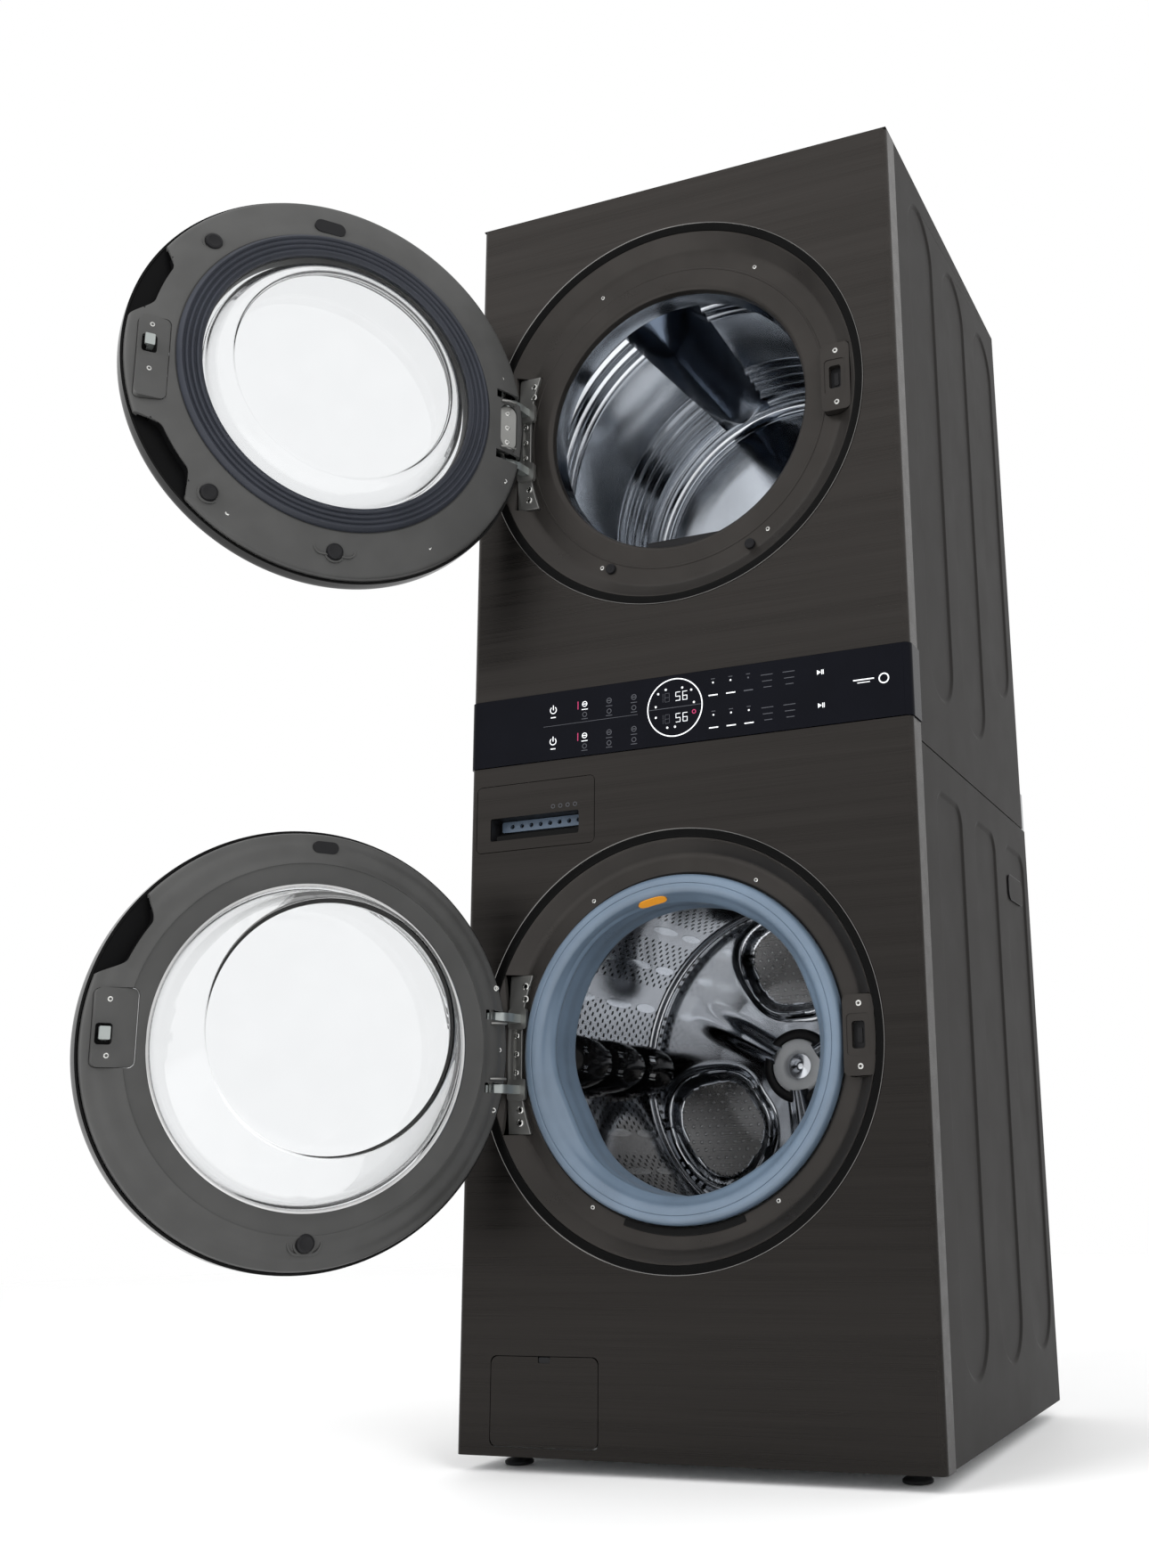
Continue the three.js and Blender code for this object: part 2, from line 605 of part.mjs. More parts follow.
const drumShell = turned([
  [washerDrum.mouth, washerDrum.front], [washerDrum.mouth + 20, washerDrum.front],
  [washerDrum.radius, washerDrum.front + 26], [washerDrum.radius, drumBack - 10],
  [washerDrum.radius - 12, drumBack], [0, drumBack],
  [0, drumBack - washerDrum.wall], [washerDrum.radius - 14, drumBack - washerDrum.wall],
  [drumInside, drumBack - 12], [drumInside, washerDrum.front + 28],
  [washerDrum.mouth + 18, washerDrum.front + washerDrum.wall],
  [washerDrum.mouth, washerDrum.front + washerDrum.wall],
]);
const lifters = around(3, 30, (angle) => {
  const foot = drumInside + 0.6;
  const outline = [[-34, 0], [34, 0], [22, -26], [9, -lifterRise], [-9, -lifterRise], [-22, -26]];
  const shape = outline.map(([x, rise]) => new THREE.Vector2(x, -foot - rise));
  const bar = pushed(shape, "y", washerDrum.front + 40, drumBack - 20);
  return bar.rotate([0, (-angle * 180) / Math.PI, 0]);
});
const spiderArm = block(0, washerDrum.radius - 30, drumBack - 1, drumBack + 9, -22, 22);
const spider = around(3, 90, (angle) => spiderArm.rotate([0, (angle * 180) / Math.PI, 0]));
const hub = rod(bearingRadius, drumBack - 1, drumBack + 10, 24);
const shaft = rod(shaftRadius, drumBack, tubBack + 66);
add("washer_drum", join(drumShell, ...lifters, ...spider, hub, shaft), steel, washer);
const statorY = tubBack + 30;
const statorCore = tube(112, bearingRadius + 6, statorY, statorY + 24, 24);
const poles = around(12, 0, (angle) =>
  block(108, 128, statorY + 2, statorY + 22, -8, 8).rotate([0, (angle * 180) / Math.PI, 0]),
);
add("motor_stator", join(statorCore, ...poles), copper, washer);
const rotorBack = statorY + 34;
add(
  "motor_rotor",
  turned([
    [shaftRadius + GAP, rotorBack], [shaftRadius + GAP, rotorBack - 6], [134, rotorBack - 6], [134, statorY],
    [142, statorY], [142, rotorBack],
  ], 24),
  galvanised, washer,
);
const weightBack = tubFront - GAP;
const weightRing = tube(tubRadius - 14, gasketOuter + 8, weightBack - 40, weightBack);
add("counterweight", weightRing, concrete, washer);

// Suspension: two coil springs above the tub and two friction dampers below it.
function coil(radius, wire, turns, length) {
  class Helix extends THREE.Curve {
    getPoint(t, target = new THREE.Vector3()) {
      const a = t * turns * 2 * Math.PI;
      return target.set(radius * Math.cos(a), radius * Math.sin(a), t * length);
    }
  }
  const ring = new THREE.Shape().absarc(0, 0, wire, 0, 2 * Math.PI);
  return solid(new THREE.ExtrudeGeometry(ring, {
    steps: turns * 9, extrudePath: new Helix(), curveSegments: 3, bevelEnabled: false,
  }));
}
const springFoot = Math.sqrt(tubRadius ** 2 - spring.x ** 2) + 26;
const damperFoot = panTop + 4 - washerPort.z;
const barrel = rod(damper.barrel, 0, damper.barrelLength);
const plunger = rod(damper.plunger, damper.barrelLength - 10, damper.length);
const damperBody = upright(join(barrel, plunger));
for (const [hand, side] of [["left", -1], ["right", 1]]) {
  const winding = coil(spring.radius, spring.wire, spring.turns, spring.length);
  add("tub_spring_" + hand, place(winding, side * spring.x, spring.y, springFoot), steel, washer);
  add("tub_damper_" + hand, place(damperBody, side * spring.x, spring.y, damperFoot), darkPlastic, washer);
}

// Water in at the back, detergent through the drawer's housing, water out through the pump.
const valveBack = lowerDepth - sheet - GAP;
const valveBody = block(
  valve.x - 44, valve.x + 44, lowerDepth - valve.depth, valveBack, valve.z - 24, valve.z + 24,
);
const inlets = inletPlaces.map((x) =>
  place(rod(valve.radius, valveBack - 1, lowerDepth + valve.reach), x, 0, valve.z),
);
add("inlet_valve", join(valveBody, ...inlets), darkPlastic);

const trayX0 = drawer.x0 + trayMargin;
const trayX1 = drawer.x1 - trayMargin;
const trayTop = drawer.z1 - trayMargin;
const trayBottom = drawer.z0 + 10;
const trayBack = 16 + drawer.tray;
const housing = cut(
  block(trayX0 - housingGap - shell, trayX1 + housingGap + shell, 12, trayBack + 16,
    trayBottom - housingGap - shell, trayTop + housingGap + shell),
  block(
    trayX0 - housingGap, trayX1 + housingGap, 0, trayBack + 10,
    trayBottom - housingGap, trayTop + housingGap,
  ),
);
add("drawer_housing", housing, tubPlastic);
const drawerBody = new THREE.Group();
drawn.add(drawerBody);
function frontOf({ x0, x1, z0, z1, corner }) {
  return pushed(rounded(x0, x1, z0, z1, corner), "y", 0, frontThickness);
}
const drawerFront = frontOf(drawer);
const pull = {
  x0: drawer.x0 + 23, x1: drawer.x1 - 25, z0: drawer.z0 + 16, z1: drawer.z0 + 50, depth: 30, wall: 3,
};
const pullBox = cut(
  block(
    pull.x0 - pull.wall, pull.x1 + pull.wall, frontThickness - 1, pull.depth + pull.wall,
    pull.z0 - pull.wall, pull.z1 + pull.wall,
  ),
  block(pull.x0, pull.x1, -5, pull.depth, pull.z0, pull.z1),
);
add(
  "drawer_front",
  join(cut(drawerFront, block(pull.x0, pull.x1, -5, 9, pull.z0, pull.z1)), pullBox),
  stainless, drawerBody,
);
const trayStart = pull.depth + pull.wall + GAP;
const divideX = trayX0 + 77; // the main wash compartment lies left of it
const divideY = trayStart + 147; // softener in front of it, bleach behind
const compartment = (x0, x1, y0, y1) =>
  block(x0 + trayWall, x1 - trayWall, y0 + trayWall, y1 - trayWall, trayBottom + trayWall, trayTop + 5);
const tray = cut(
  block(trayX0, trayX1, trayStart, trayBack, trayBottom, trayTop - 8),
  compartment(trayX0, divideX, trayStart, trayBack),
  compartment(divideX - trayWall, trayX1, trayStart, divideY),
  compartment(divideX - trayWall, trayX1, divideY - trayWall, trayBack),
);
add("detergent_tray", tray, tubPlastic, drawerBody);

const pumpX = (pumpDoor.x0 + pumpDoor.x1) / 2;
const sleeveBack = pump.front + pump.sleeve;
const sleeveRadius = filterRadius + 9;
const pumpBody = join(
  tube(sleeveRadius, filterRadius + 1.5, pump.front, sleeveBack, 20),
  rod(sleeveRadius, sleeveBack - GAP, sleeveBack + 48, 24),
  block(-40, 40, sleeveBack + 8, pump.front + pump.length, panTop + 2 - pump.z, 30),
);
add("drain_pump", place(pumpBody, pumpX, 0, pump.z), darkPlastic);
const filter = join(
  rod(filterRadius, pump.front - 14, pump.front + 4, 24),
  rod(filterRadius - 7, pump.front, sleeveBack - 8, 16),
  block(4 - filterRadius, filterRadius - 4, pump.front - 24, pump.front - 10, -4, 4),
);
add("pump_filter", place(filter, pumpX, 0, pump.z), tubPlastic);

const tabX = [pumpX - 12, pumpX + 11];
const tab = block(...tabX, frontThickness - GAP, 8, pumpDoor.z1 - 14, pumpDoor.z1 - 3);
const nailSlot = block(...tabX, -3, frontThickness / 2, pumpDoor.z1 - 9, pumpDoor.z1 + 5);
add("pump_access_door", cut(join(frontOf(pumpDoor), tab), nailSlot), stainless);

footPlaces.forEach(([x, y], i) => {
  const pad = turned(
    [[0, 0], [footRadius, 0], [footRadius, 4], [footRadius - 5, 9], [9, 12], [0, 12]], SMALL,
  );
  const stud = rod(studRadius, 6, panTop + 14);
  const nut = rod(9, 11, footHeight - 1, 6);
  const corner = ["front_left", "front_right", "rear_left", "rear_right"][i];
  add("levelling_foot_" + corner, place(upright(join(pad, nut, stud)), x, y, 0), blackRubber);
});

// ---- dryer --------------------------------------------------------------------------------------------
const dryer = new THREE.Group();
dryer.position.set(portX, 0, dryerPort.z);
drawn.add(dryer);
const dryerInside = dryerDrum.radius - dryerDrum.wall;
const dryerShell = turned([
  [0, dryerDrum.back + 12], [dryerDrum.radius - 60, dryerDrum.back + 6],
  [dryerDrum.radius, dryerDrum.back - 26], [dryerDrum.radius, dryerDrum.front + 34],
  [dryerDrum.mouth + 20, dryerDrum.front], [dryerDrum.mouth, dryerDrum.front],
  [dryerDrum.mouth, dryerDrum.front + dryerDrum.wall],
  [dryerDrum.mouth + 18, dryerDrum.front + dryerDrum.wall],
  [dryerInside, dryerDrum.front + 36], [dryerInside, dryerDrum.back - 28],
  [dryerDrum.radius - 62, dryerDrum.back + 2], [0, dryerDrum.back + 8],
]);
const baffles = around(3, 200, (angle) => {
  const foot = dryerInside + 1;
  const outline = [[-26, 0], [34, 0], [20, -baffleRise], [8, -baffleRise]];
  const shape = outline.map(([x, rise]) => new THREE.Vector2(x, -foot - rise));
  const bar = pushed(shape, "y", dryerDrum.front + 60, dryerDrum.back - 60);
  return bar.rotate([0, (-angle * 180) / Math.PI, 0]);
});
add("dryer_drum", join(dryerShell, ...baffles), steel, dryer);

const bulkheadFront = dryerDrum.front - 14;

const bulkheadPlate = cut(
  block(-inner - portX + 6, inner - portX - 6, bulkheadFront, bulkheadFront + 2,
    trayZ + 16 - dryerPort.z, top - 30 - dryerPort.z),
  rod(neckOuter + GAP, 0, 200, SEGMENTS),
  block(-filterSlot.halfWidth - 3, filterSlot.halfWidth + 3, 0, 200, -392, -150),
);
const screenHalf = filterSlot.halfWidth;
const filterDuct = cut(
  block(-screenHalf - 5, screenHalf + 5, filterSlot.y0 - 5, filterSlot.y1 + 5, -394, -250),
  block(-screenHalf - 1, screenHalf + 1, filterSlot.y0 - 1, filterSlot.y1 + 1, -388, -100),
);
add("dryer_bulkhead", join(bulkheadPlate, filterDuct), galvanised, dryer);
const screen = block(-screenHalf, screenHalf, filterSlot.y0, filterSlot.y1, filterSlot.bottom, -200);
const grip = block(-60, 60, filterSlot.y0, filterSlot.y1, -201, filterSlot.top);
const windowCut = block(
  10 - screenHalf, screenHalf - 10, filterSlot.y0 + 2, filterSlot.y1 + 5, filterSlot.bottom + 10, -240,
);
add("lint_filter", cut(join(screen, grip), windowCut), tubPlastic, dryer);

const rollerY = dryerDrum.back - 70;
const rollerPlaces = [-1, 1].map((side) => {
  const a = THREE.MathUtils.degToRad(rollerAngle);
  const reach = dryerDrum.radius + rollerRadius + GAP;
  return [portX + side * reach * Math.sin(a), dryerPort.z - reach * Math.cos(a)];
});
rollerPlaces.forEach(([x, z], i) => {
  const wheel = tube(rollerRadius, axleRadius + boreGap, rollerY - 12, rollerY + 12, 24);
  add("drum_roller_" + (i ? "right" : "left"), place(wheel, x, 0, z), blackRubber);
});
const rollerBrackets = rollerPlaces.map(([x, z]) =>
  join(
    block(x - 16, x + 16, rollerY + 24, rollerY + 28, trayZ - 1, z + 14),
    place(rod(axleRadius, rollerY - 13, rollerY + 26), x, 0, z),
  ),
);
add("stacking_tray", join(bareTray, ...rollerBrackets), galvanised);

const motorParts = join(
  rod(motor.radius, motor.y, motor.y + motor.length, 24),
  block(-44, 44, motor.y + 20, motor.y + motor.length + 10, trayZ + GAP - motor.z, -30),
  rod(axleRadius, motor.y - 34, motor.y + motor.length + 6),
);
add("dryer_motor", place(motorParts, motor.x, 0, motor.z), galvanised);
const pulley = tube(pulleyRadius, axleRadius + boreGap, motor.y - 30, motor.y - 6, SMALL);
add("motor_pulley", place(pulley, motor.x, 0, motor.z), castMetal);

// The drive belt runs round the drum and the pulley: its outline is two arcs with tangents between them.
const beltY = motor.y - 29;
const pulleyAt = new THREE.Vector2(motor.x - portX, motor.z - dryerPort.z);
function beltLoop(overDrum, overPulley) {
  const span = pulleyAt.length();
  const towards = Math.atan2(pulleyAt.y, pulleyAt.x);
  const spread = Math.acos((overDrum - overPulley) / span);
  const arc = (x, y, radius, from, to, steps) =>
    Array.from({ length: steps + 1 }, (_, i) => {
      const a = from + ((to - from) * i) / steps;
      return new THREE.Vector2(x + radius * Math.cos(a), y + radius * Math.sin(a));
    });
  return [
    ...arc(0, 0, overDrum, towards + spread, towards - spread + 2 * Math.PI, 36),
    ...arc(pulleyAt.x, pulleyAt.y, overPulley, towards - spread, towards + spread, 6),
  ];
}
const beltInner = [dryerDrum.radius, pulleyRadius].map((radius) => radius + beltClear);
const beltOuter = beltInner.map((radius) => radius + beltThickness);
const beltOutside = pushed(beltLoop(...beltOuter), "y", beltY, beltY + beltWidth);
const beltInside = pushed(beltLoop(...beltInner), "y", beltY - 5, beltY + beltWidth + 5);
add("drive_belt", cut(beltOutside, beltInside), blackRubber, dryer);

const scroll = new THREE.Shape();
scroll.moveTo(blower.radius + 12, 0).absarc(0, 0, blower.radius + 12, 0, Math.PI * 1.5);
scroll.lineTo(exhaust.radius + 30, -blower.radius - 12).lineTo(exhaust.radius + 30, 0);
const scrollOuter = pushed(scroll, "y", blower.y - 6, blower.y + blower.width + 10);
const scrollBore = rod(blower.radius + 4, blower.y - 2, blower.y + blower.width + 4, 24);
const intake = rod(blower.radius - 24, blower.y - 40, blower.y + 4, 24);
const housingShell = place(cut(scrollOuter, scrollBore, intake), blower.x, 0, blower.z);
const vane = block(36, blower.radius - 2, blower.y + 6, blower.y + blower.width - 4, -1.5, 1.5);
const vanes = around(8, 0, (angle) => vane.rotate([0, (angle * 180) / Math.PI, 0]));
const wheelDisc = rod(blower.radius - 1, blower.y + blower.width - 6, blower.y + blower.width - 2, 24);
const wheelHub = rod(12, blower.y + 10, blower.y + blower.width - 2);
add("blower_wheel", place(join(wheelDisc, wheelHub, ...vanes), blower.x, 0, blower.z), darkPlastic);
const ductStart = blower.y + blower.width + 9;
const ductBore = exhaust.radius - exhaust.wall;
const duct = tube(exhaust.radius, ductBore, ductStart, upperDepth + exhaust.reach, 24);
add("blower_housing", join(housingShell, place(duct, exhaust.x, 0, exhaust.z)), galvanised);

// The origin is the bottom centre of the bounding box, with the doors standing open.
const size = new THREE.Box3().setFromObject(tower, true);
drawn.position.set(-(size.min.x + size.max.x) / 2, -(size.min.y + size.max.y) / 2, -size.min.z);
tower.updateMatrixWorld(true);

export default tower;
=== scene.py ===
# %% [markdown]
# # A washer and dryer tower with both doors open
#
# This lesson dresses a finished engineering model. The model gives us every size, every hinge and a plain
# solid for each part. Blender gives the surfaces that a person sees: brushed steel, pressed glass, rubber
# bellows and bright drums. We never move the engineering parts. Where a plain solid is too coarse to be
# looked at, we build a smooth piece in the same place and hide the plain solid it stands for.

# %% Load the engineering model
import json
import math

import bmesh
import bpy
from mathutils import Matrix, Vector


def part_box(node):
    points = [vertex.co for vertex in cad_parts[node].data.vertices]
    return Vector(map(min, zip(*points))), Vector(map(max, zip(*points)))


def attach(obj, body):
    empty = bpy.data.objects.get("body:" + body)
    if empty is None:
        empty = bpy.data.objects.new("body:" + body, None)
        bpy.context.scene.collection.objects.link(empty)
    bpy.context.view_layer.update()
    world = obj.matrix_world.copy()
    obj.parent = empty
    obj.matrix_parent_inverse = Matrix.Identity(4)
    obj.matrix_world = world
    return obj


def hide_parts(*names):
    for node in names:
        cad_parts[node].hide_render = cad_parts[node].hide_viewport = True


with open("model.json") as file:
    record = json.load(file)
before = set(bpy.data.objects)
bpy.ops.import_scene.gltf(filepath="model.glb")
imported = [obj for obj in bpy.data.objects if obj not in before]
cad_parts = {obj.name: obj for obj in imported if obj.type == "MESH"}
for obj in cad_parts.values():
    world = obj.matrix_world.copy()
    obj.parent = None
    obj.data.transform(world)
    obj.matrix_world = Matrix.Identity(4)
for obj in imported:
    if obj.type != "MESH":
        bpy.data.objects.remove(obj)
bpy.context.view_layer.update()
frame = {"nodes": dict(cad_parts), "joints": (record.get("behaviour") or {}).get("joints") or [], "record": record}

# %% [markdown]
# ## Where things are
#
# A maker of sheet metal measures in millimetres from the middle of the cabinet, from its front face and
# from the floor. We could type metres in the model's own frame, but then every number would hide the same
# two offsets. So we measure the offsets once, from the side panels and the front panel, and use a small
# function that turns workshop millimetres into a point of the model.

# %% Workshop measures
MM = 0.001


def middle(node):
    low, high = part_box(node)
    return (low + high) / 2


half_width = (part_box("side_panel_washer_right")[1].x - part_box("side_panel_washer_left")[0].x) / 2 / MM
centre_x = middle("front_panel_washer").x
front_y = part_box("front_panel_washer")[0].y


def at(x, y, z):
    return Vector((centre_x + x * MM, front_y + y * MM, z * MM))


def in_mm(point):
    return (point.x - centre_x) / MM, (point.y - front_y) / MM, point.z / MM


port_x, _, dryer_z = in_mm(middle("port_ring_dryer"))
_, _, washer_z = in_mm(middle("port_ring_washer"))
joints = {joint["name"]: joint for joint in frame["joints"]}
print("half width", round(half_width), "ports at", round(port_x), round(dryer_z), round(washer_z))

# %% [markdown]
# ## The camera
#
# The picture is taken from knee height, to the right of the tower, with the camera tipped up. A tall object
# seen like that leans and narrows towards the top. The lens is a short one, about 36 mm, and the frame is
# shifted a little, as is done with a view camera in a studio, so that the tower stands left of the lens's
# axis. We set the place and three angles: how far the camera is turned, tipped and rolled.

# %% Camera
def aim(turned, tipped, rolled):
    """A camera looks down its own -Z. First it is laid level, looking along +Y, then turned and tipped."""
    turn = Matrix.Rotation(math.radians(turned), 4, "Z")
    tip = Matrix.Rotation(math.radians(90 + tipped), 4, "X")
    roll = Matrix.Rotation(math.radians(rolled), 4, "Z")
    return turn @ tip @ roll


lens = bpy.data.cameras.new("studio_lens")
lens.sensor_width = 36
lens.lens = 36.51
lens.shift_x = -0.1165
lens.clip_end = 50
camera = bpy.data.objects.new("studio_camera", lens)
bpy.context.scene.collection.objects.link(camera)
camera.matrix_world = Matrix.Translation(at(895, -1994, 370)) @ aim(21.33, 14.03, -1.22)
bpy.context.scene.camera = camera
bpy.context.scene.view_settings.view_transform = "Standard"
print("camera at", [round(v, 3) for v in camera.location])

# %% [markdown]
# ## Writing materials as sums
#
# A procedural material is a small calculation that runs at every point of a surface. Wiring it node by node
# is slow to read, so we wrap a socket in a class that understands plus, minus, times and divide. An
# expression such as 1 - mask then adds the nodes for us. Everything else goes through one method, add,
# which makes a node, sets its options first and then fills its sockets.

# %% A socket that can be added and multiplied
class Signal:
    def __init__(self, finish, socket):
        self.finish, self.socket = finish, socket

    def sum(self, operation, *others):
        return self.finish.maths(operation, self, *others)

    def __add__(self, other):
        return self.sum("ADD", other)

    def __sub__(self, other):
        return self.sum("SUBTRACT", other)

    def __mul__(self, other):
        return self.sum("MULTIPLY", other)

    def __truediv__(self, other):
        return self.sum("DIVIDE", other)

    def __rsub__(self, other):
        return self.finish.maths("SUBTRACT", other, self)

    __radd__ = __add__
    __rmul__ = __mul__


class Finish:
    """One material with a Principled shader. Constants are set on the shader's own sockets."""

    def __init__(self, name, colour, roughness, metallic=0.0, **constants):
        self.material = bpy.data.materials.new(name)
        self.material.use_nodes = True
        self.tree = self.material.node_tree
        self.shader = self.tree.nodes["Principled BSDF"]
        self.material.diffuse_color = (*colour[:3], 1.0)
        self.fill(self.shader, {"Base Color": colour, "Roughness": roughness, "Metallic": metallic})
        self.fill(self.shader, {key.replace("_", " "): value for key, value in constants.items()})

    def fill(self, node, sockets):
        for key, value in sockets.items():
            socket = node.inputs[key]
            if isinstance(value, Signal):
                self.tree.links.new(value.socket, socket)
            elif hasattr(value, "__len__") and len(value) == 3 and socket.type == "RGBA":
                socket.default_value = (*value, 1.0)
            else:
                socket.default_value = value

    def add(self, kind, settings=None, output=0, **sockets):
        """Makes a node. Options come first; a name such as stops gives a ramp's positions and greys."""
        node = self.tree.nodes.new("ShaderNode" + kind)
        for key, value in (settings or {}).items():
            if key == "stops":
                ramp = node.color_ramp
                while len(ramp.elements) < len(value):
                    ramp.elements.new(0.5)
                for element, (position, grey) in zip(ramp.elements, value):
                    element.position, element.color = position, (grey, grey, grey, 1)
            else:
                setattr(node, key, value)
        names = {key.lstrip("_"): value for key, value in sockets.items()}
        self.fill(node, {int(k) if k.isdigit() else k.replace("_", " "): v for k, v in names.items()})
        return Signal(self, node.outputs[output])

    def maths(self, operation, *values):
        return self.add("Math", {"operation": operation}, **{"_%d" % i: v for i, v in enumerate(values)})

    def mix(self, amount, first, second):
        """Blends two colours by an amount from 0 to 1."""
        return self.add("Mix", {"data_type": "RGBA"}, 2, _0=amount, _6=first, _7=second)

    def where(self):
        """The point on the piece, in its own frame, as three signals in millimetres."""
        place = self.add("TexCoord", output=3)
        split = self.add("SeparateXYZ", Vector=place)
        return [Signal(self, split.socket.node.outputs[i]) * 1000.0 for i in range(3)]

    def point(self, x, y, z):
        return self.add("CombineXYZ", X=x, Y=y, Z=z)

    def noise(self, vector, scale, detail=3.0, roughness=0.55):
        return self.add("TexNoise", {}, 0, Vector=vector, Scale=scale, Detail=detail, Roughness=roughness)

    def smooth(self, value, low, high):
        """0 below low, 1 above high, and a soft step between them."""
        settings = {"interpolation_type": "SMOOTHSTEP", "clamp": True}
        return self.add("MapRange", settings, Value=value, From_Min=low, From_Max=high)

    def bump(self, height, strength, distance=0.001):
        bumped = self.add("Bump", {}, Height=height, Strength=strength, Distance=distance)
        self.fill(self.shader, {"Normal": bumped})

    def colour(self, value):
        self.fill(self.shader, {"Base Color": value})

    def rough(self, value):
        self.fill(self.shader, {"Roughness": value})


print("material classes ready")

# %% [markdown]
# ## Brushed dark stainless
#
# The front is steel that was rubbed in one direction with an abrasive belt and then tinted. The scratches
# run sideways, each is far longer than it is wide, and they spread reflections up and down. We stretch
# noise along x to draw the scratches, let it lift the colour and the roughness a little, and give the
# shader a steady anisotropy, which is what stretches the reflections. The colour also carries a painted
# shade: it falls to less than half towards the floor, as if less light reached the bottom of the tower.

# %% Brushed steel
def brushed_steel(name, colour, roughness=0.3, along="x", depth=1.0):
    finish = Finish(name, colour, roughness, 1.0, Anisotropic=0.55)
    x, y, z = finish.where()
    run, across = (x, z) if along == "x" else (z, x)
    fine = finish.noise(finish.point(run * 0.004, y * 0.9, across * 0.9), 1.0, 4.0)
    broad = finish.noise(finish.point(run * 0.0006, y * 0.05, across * 0.045), 1.0, 2.0)
    cloudy = finish.noise(finish.point(x * 0.0011, y * 0.0011, z * 0.0011), 1.0, 2.0)
    streak = finish.smooth(fine, 0.3, 0.7) * 0.55 + finish.smooth(broad, 0.3, 0.7) * 0.45
    dark = [c * 0.8 for c in colour]
    light = [c * 1.2 for c in colour]
    tint = finish.mix(streak * 0.8 + cloudy * 0.2, dark, light)
    # Painted shade: the colour is darkened to 45% towards the floor, where less light falls.
    painted_floor_shade = finish.smooth(z, -100.0, 1900.0)
    finish.colour(finish.mix(painted_floor_shade, finish.mix(0.55, tint, (0, 0, 0)), tint))
    finish.rough(streak * 0.1 + cloudy * 0.06 + (roughness - 0.08))
    finish.bump(fine, 0.06 * depth, 0.0004)
    return finish.material


dark_steel = brushed_steel("dark_brushed_stainless", (0.053, 0.0487, 0.0457), 0.3)
print("made", dark_steel.name)

# %% [markdown]
# ## Paint, plastic, rubber and glass
#
# The cabinet's sides are steel with baked paint, which has a faint orange-peel skin. Moulded plastic is
# never one flat tone either: its gloss drifts where the mould filled unevenly. One function makes all of
# these from a slow cloud in the gloss and a fine grain in the height, so each finish below is one line of
# choices.

# %% Painted and moulded finishes
def moulded(name, colour, roughness, grain=0.1, grain_size=1.6, spread=0.12, metallic=0.0, **constants):
    finish = Finish(name, colour, roughness, metallic, **constants)
    x, y, z = finish.where()
    spot = finish.point(x, y, z)
    cloud = finish.noise(spot, 0.012, 3.0)
    fine = finish.noise(spot, 1.0 / grain_size, 2.0)
    dark = [c * (1 - spread) for c in colour]
    light = [min(1.0, c * (1 + spread)) for c in colour]
    finish.colour(finish.mix(finish.smooth(cloud, 0.3, 0.7) * 0.75 + fine * 0.25, dark, light))
    finish.rough(cloud * 0.12 + fine * 0.06 + (roughness - 0.09))
    finish.bump(fine, grain, 0.0003)
    return finish.material


side_paint = moulded("baked_side_paint", (0.0125, 0.0113, 0.0106), 0.5, 0.25, 1.1, Specular_IOR_Level=0.08)
dish_satin = moulded("satin_port_plastic", (0.034, 0.031, 0.0287), 0.3, 0.05, metallic=0.6,
                     Specular_IOR_Level=0.25)
gloss_black = moulded("gloss_black_ring", (0.003, 0.003, 0.003), 0.13, 0.01, Specular_IOR_Level=0.1)
band_black = moulded("port_band_black", (0.003, 0.003, 0.003), 0.3, 0.02, Specular_IOR_Level=0.05)
bright_ring = moulded("polished_glass_ring", (0.58, 0.58, 0.58), 0.16, 0.02, metallic=1.0)
rim_steel = moulded("polished_thin_rim", (0.20, 0.195, 0.19), 0.2, 0.02, metallic=1.0)
door_satin = moulded("satin_door_moulding", (0.056, 0.056, 0.055), 0.38, 0.12, 1.2, Specular_IOR_Level=0.25)
# Nearly black: a painted shade for the deep grip pockets and the striker's pocket in the doors.
painted_pocket_shade = moulded("door_recess_black", (0.004, 0.004, 0.0042), 0.4, 0.05, Specular_IOR_Level=0.05)
slate_rubber = moulded("slate_seal_rubber", (0.027, 0.030, 0.039), 0.5, 0.1, 0.8, Specular_IOR_Level=0.3)
bellows_rubber = moulded("pale_bellows_rubber", (0.110, 0.152, 0.205), 0.3, 0.05, 1.2, Coat_Weight=0.2)
black_rubber = moulded("black_foot_rubber", (0.009, 0.009, 0.010), 0.55, 0.3, 0.7, Specular_IOR_Level=0.15)
zinc = moulded("bright_zinc", (0.60, 0.61, 0.63), 0.25, 0.1, 0.8, metallic=1.0)
galvanised = moulded("galvanised_sheet", (0.40, 0.41, 0.42), 0.36, 0.12, 5.0, 0.07, metallic=0.9)
cast_grey = moulded("cast_hinge_metal", (0.27, 0.27, 0.26), 0.33, 0.25, 0.9, metallic=0.85)
cast_pale = moulded("cast_arm_metal", (0.40, 0.43, 0.42), 0.3, 0.2, 0.9, metallic=0.85)
screw_steel = moulded("screw_steel", (0.62, 0.62, 0.60), 0.22, 0.05, metallic=1.0)
tub_plastic = moulded("tub_plastic", (0.50, 0.50, 0.48), 0.5, 0.15)
black_plastic = moulded("black_moulding", (0.010, 0.010, 0.011), 0.42, 0.2, 0.9, Specular_IOR_Level=0.18)
board_green = moulded("board_lacquer", (0.02, 0.09, 0.05), 0.35, 0.1, 4.0)
ballast = moulded("cast_ballast", (0.33, 0.31, 0.28), 0.9, 0.8, 2.5, 0.25)
copper = moulded("lacquered_copper", (0.45, 0.19, 0.08), 0.32, 0.4, 1.1, 0.3, metallic=0.9)
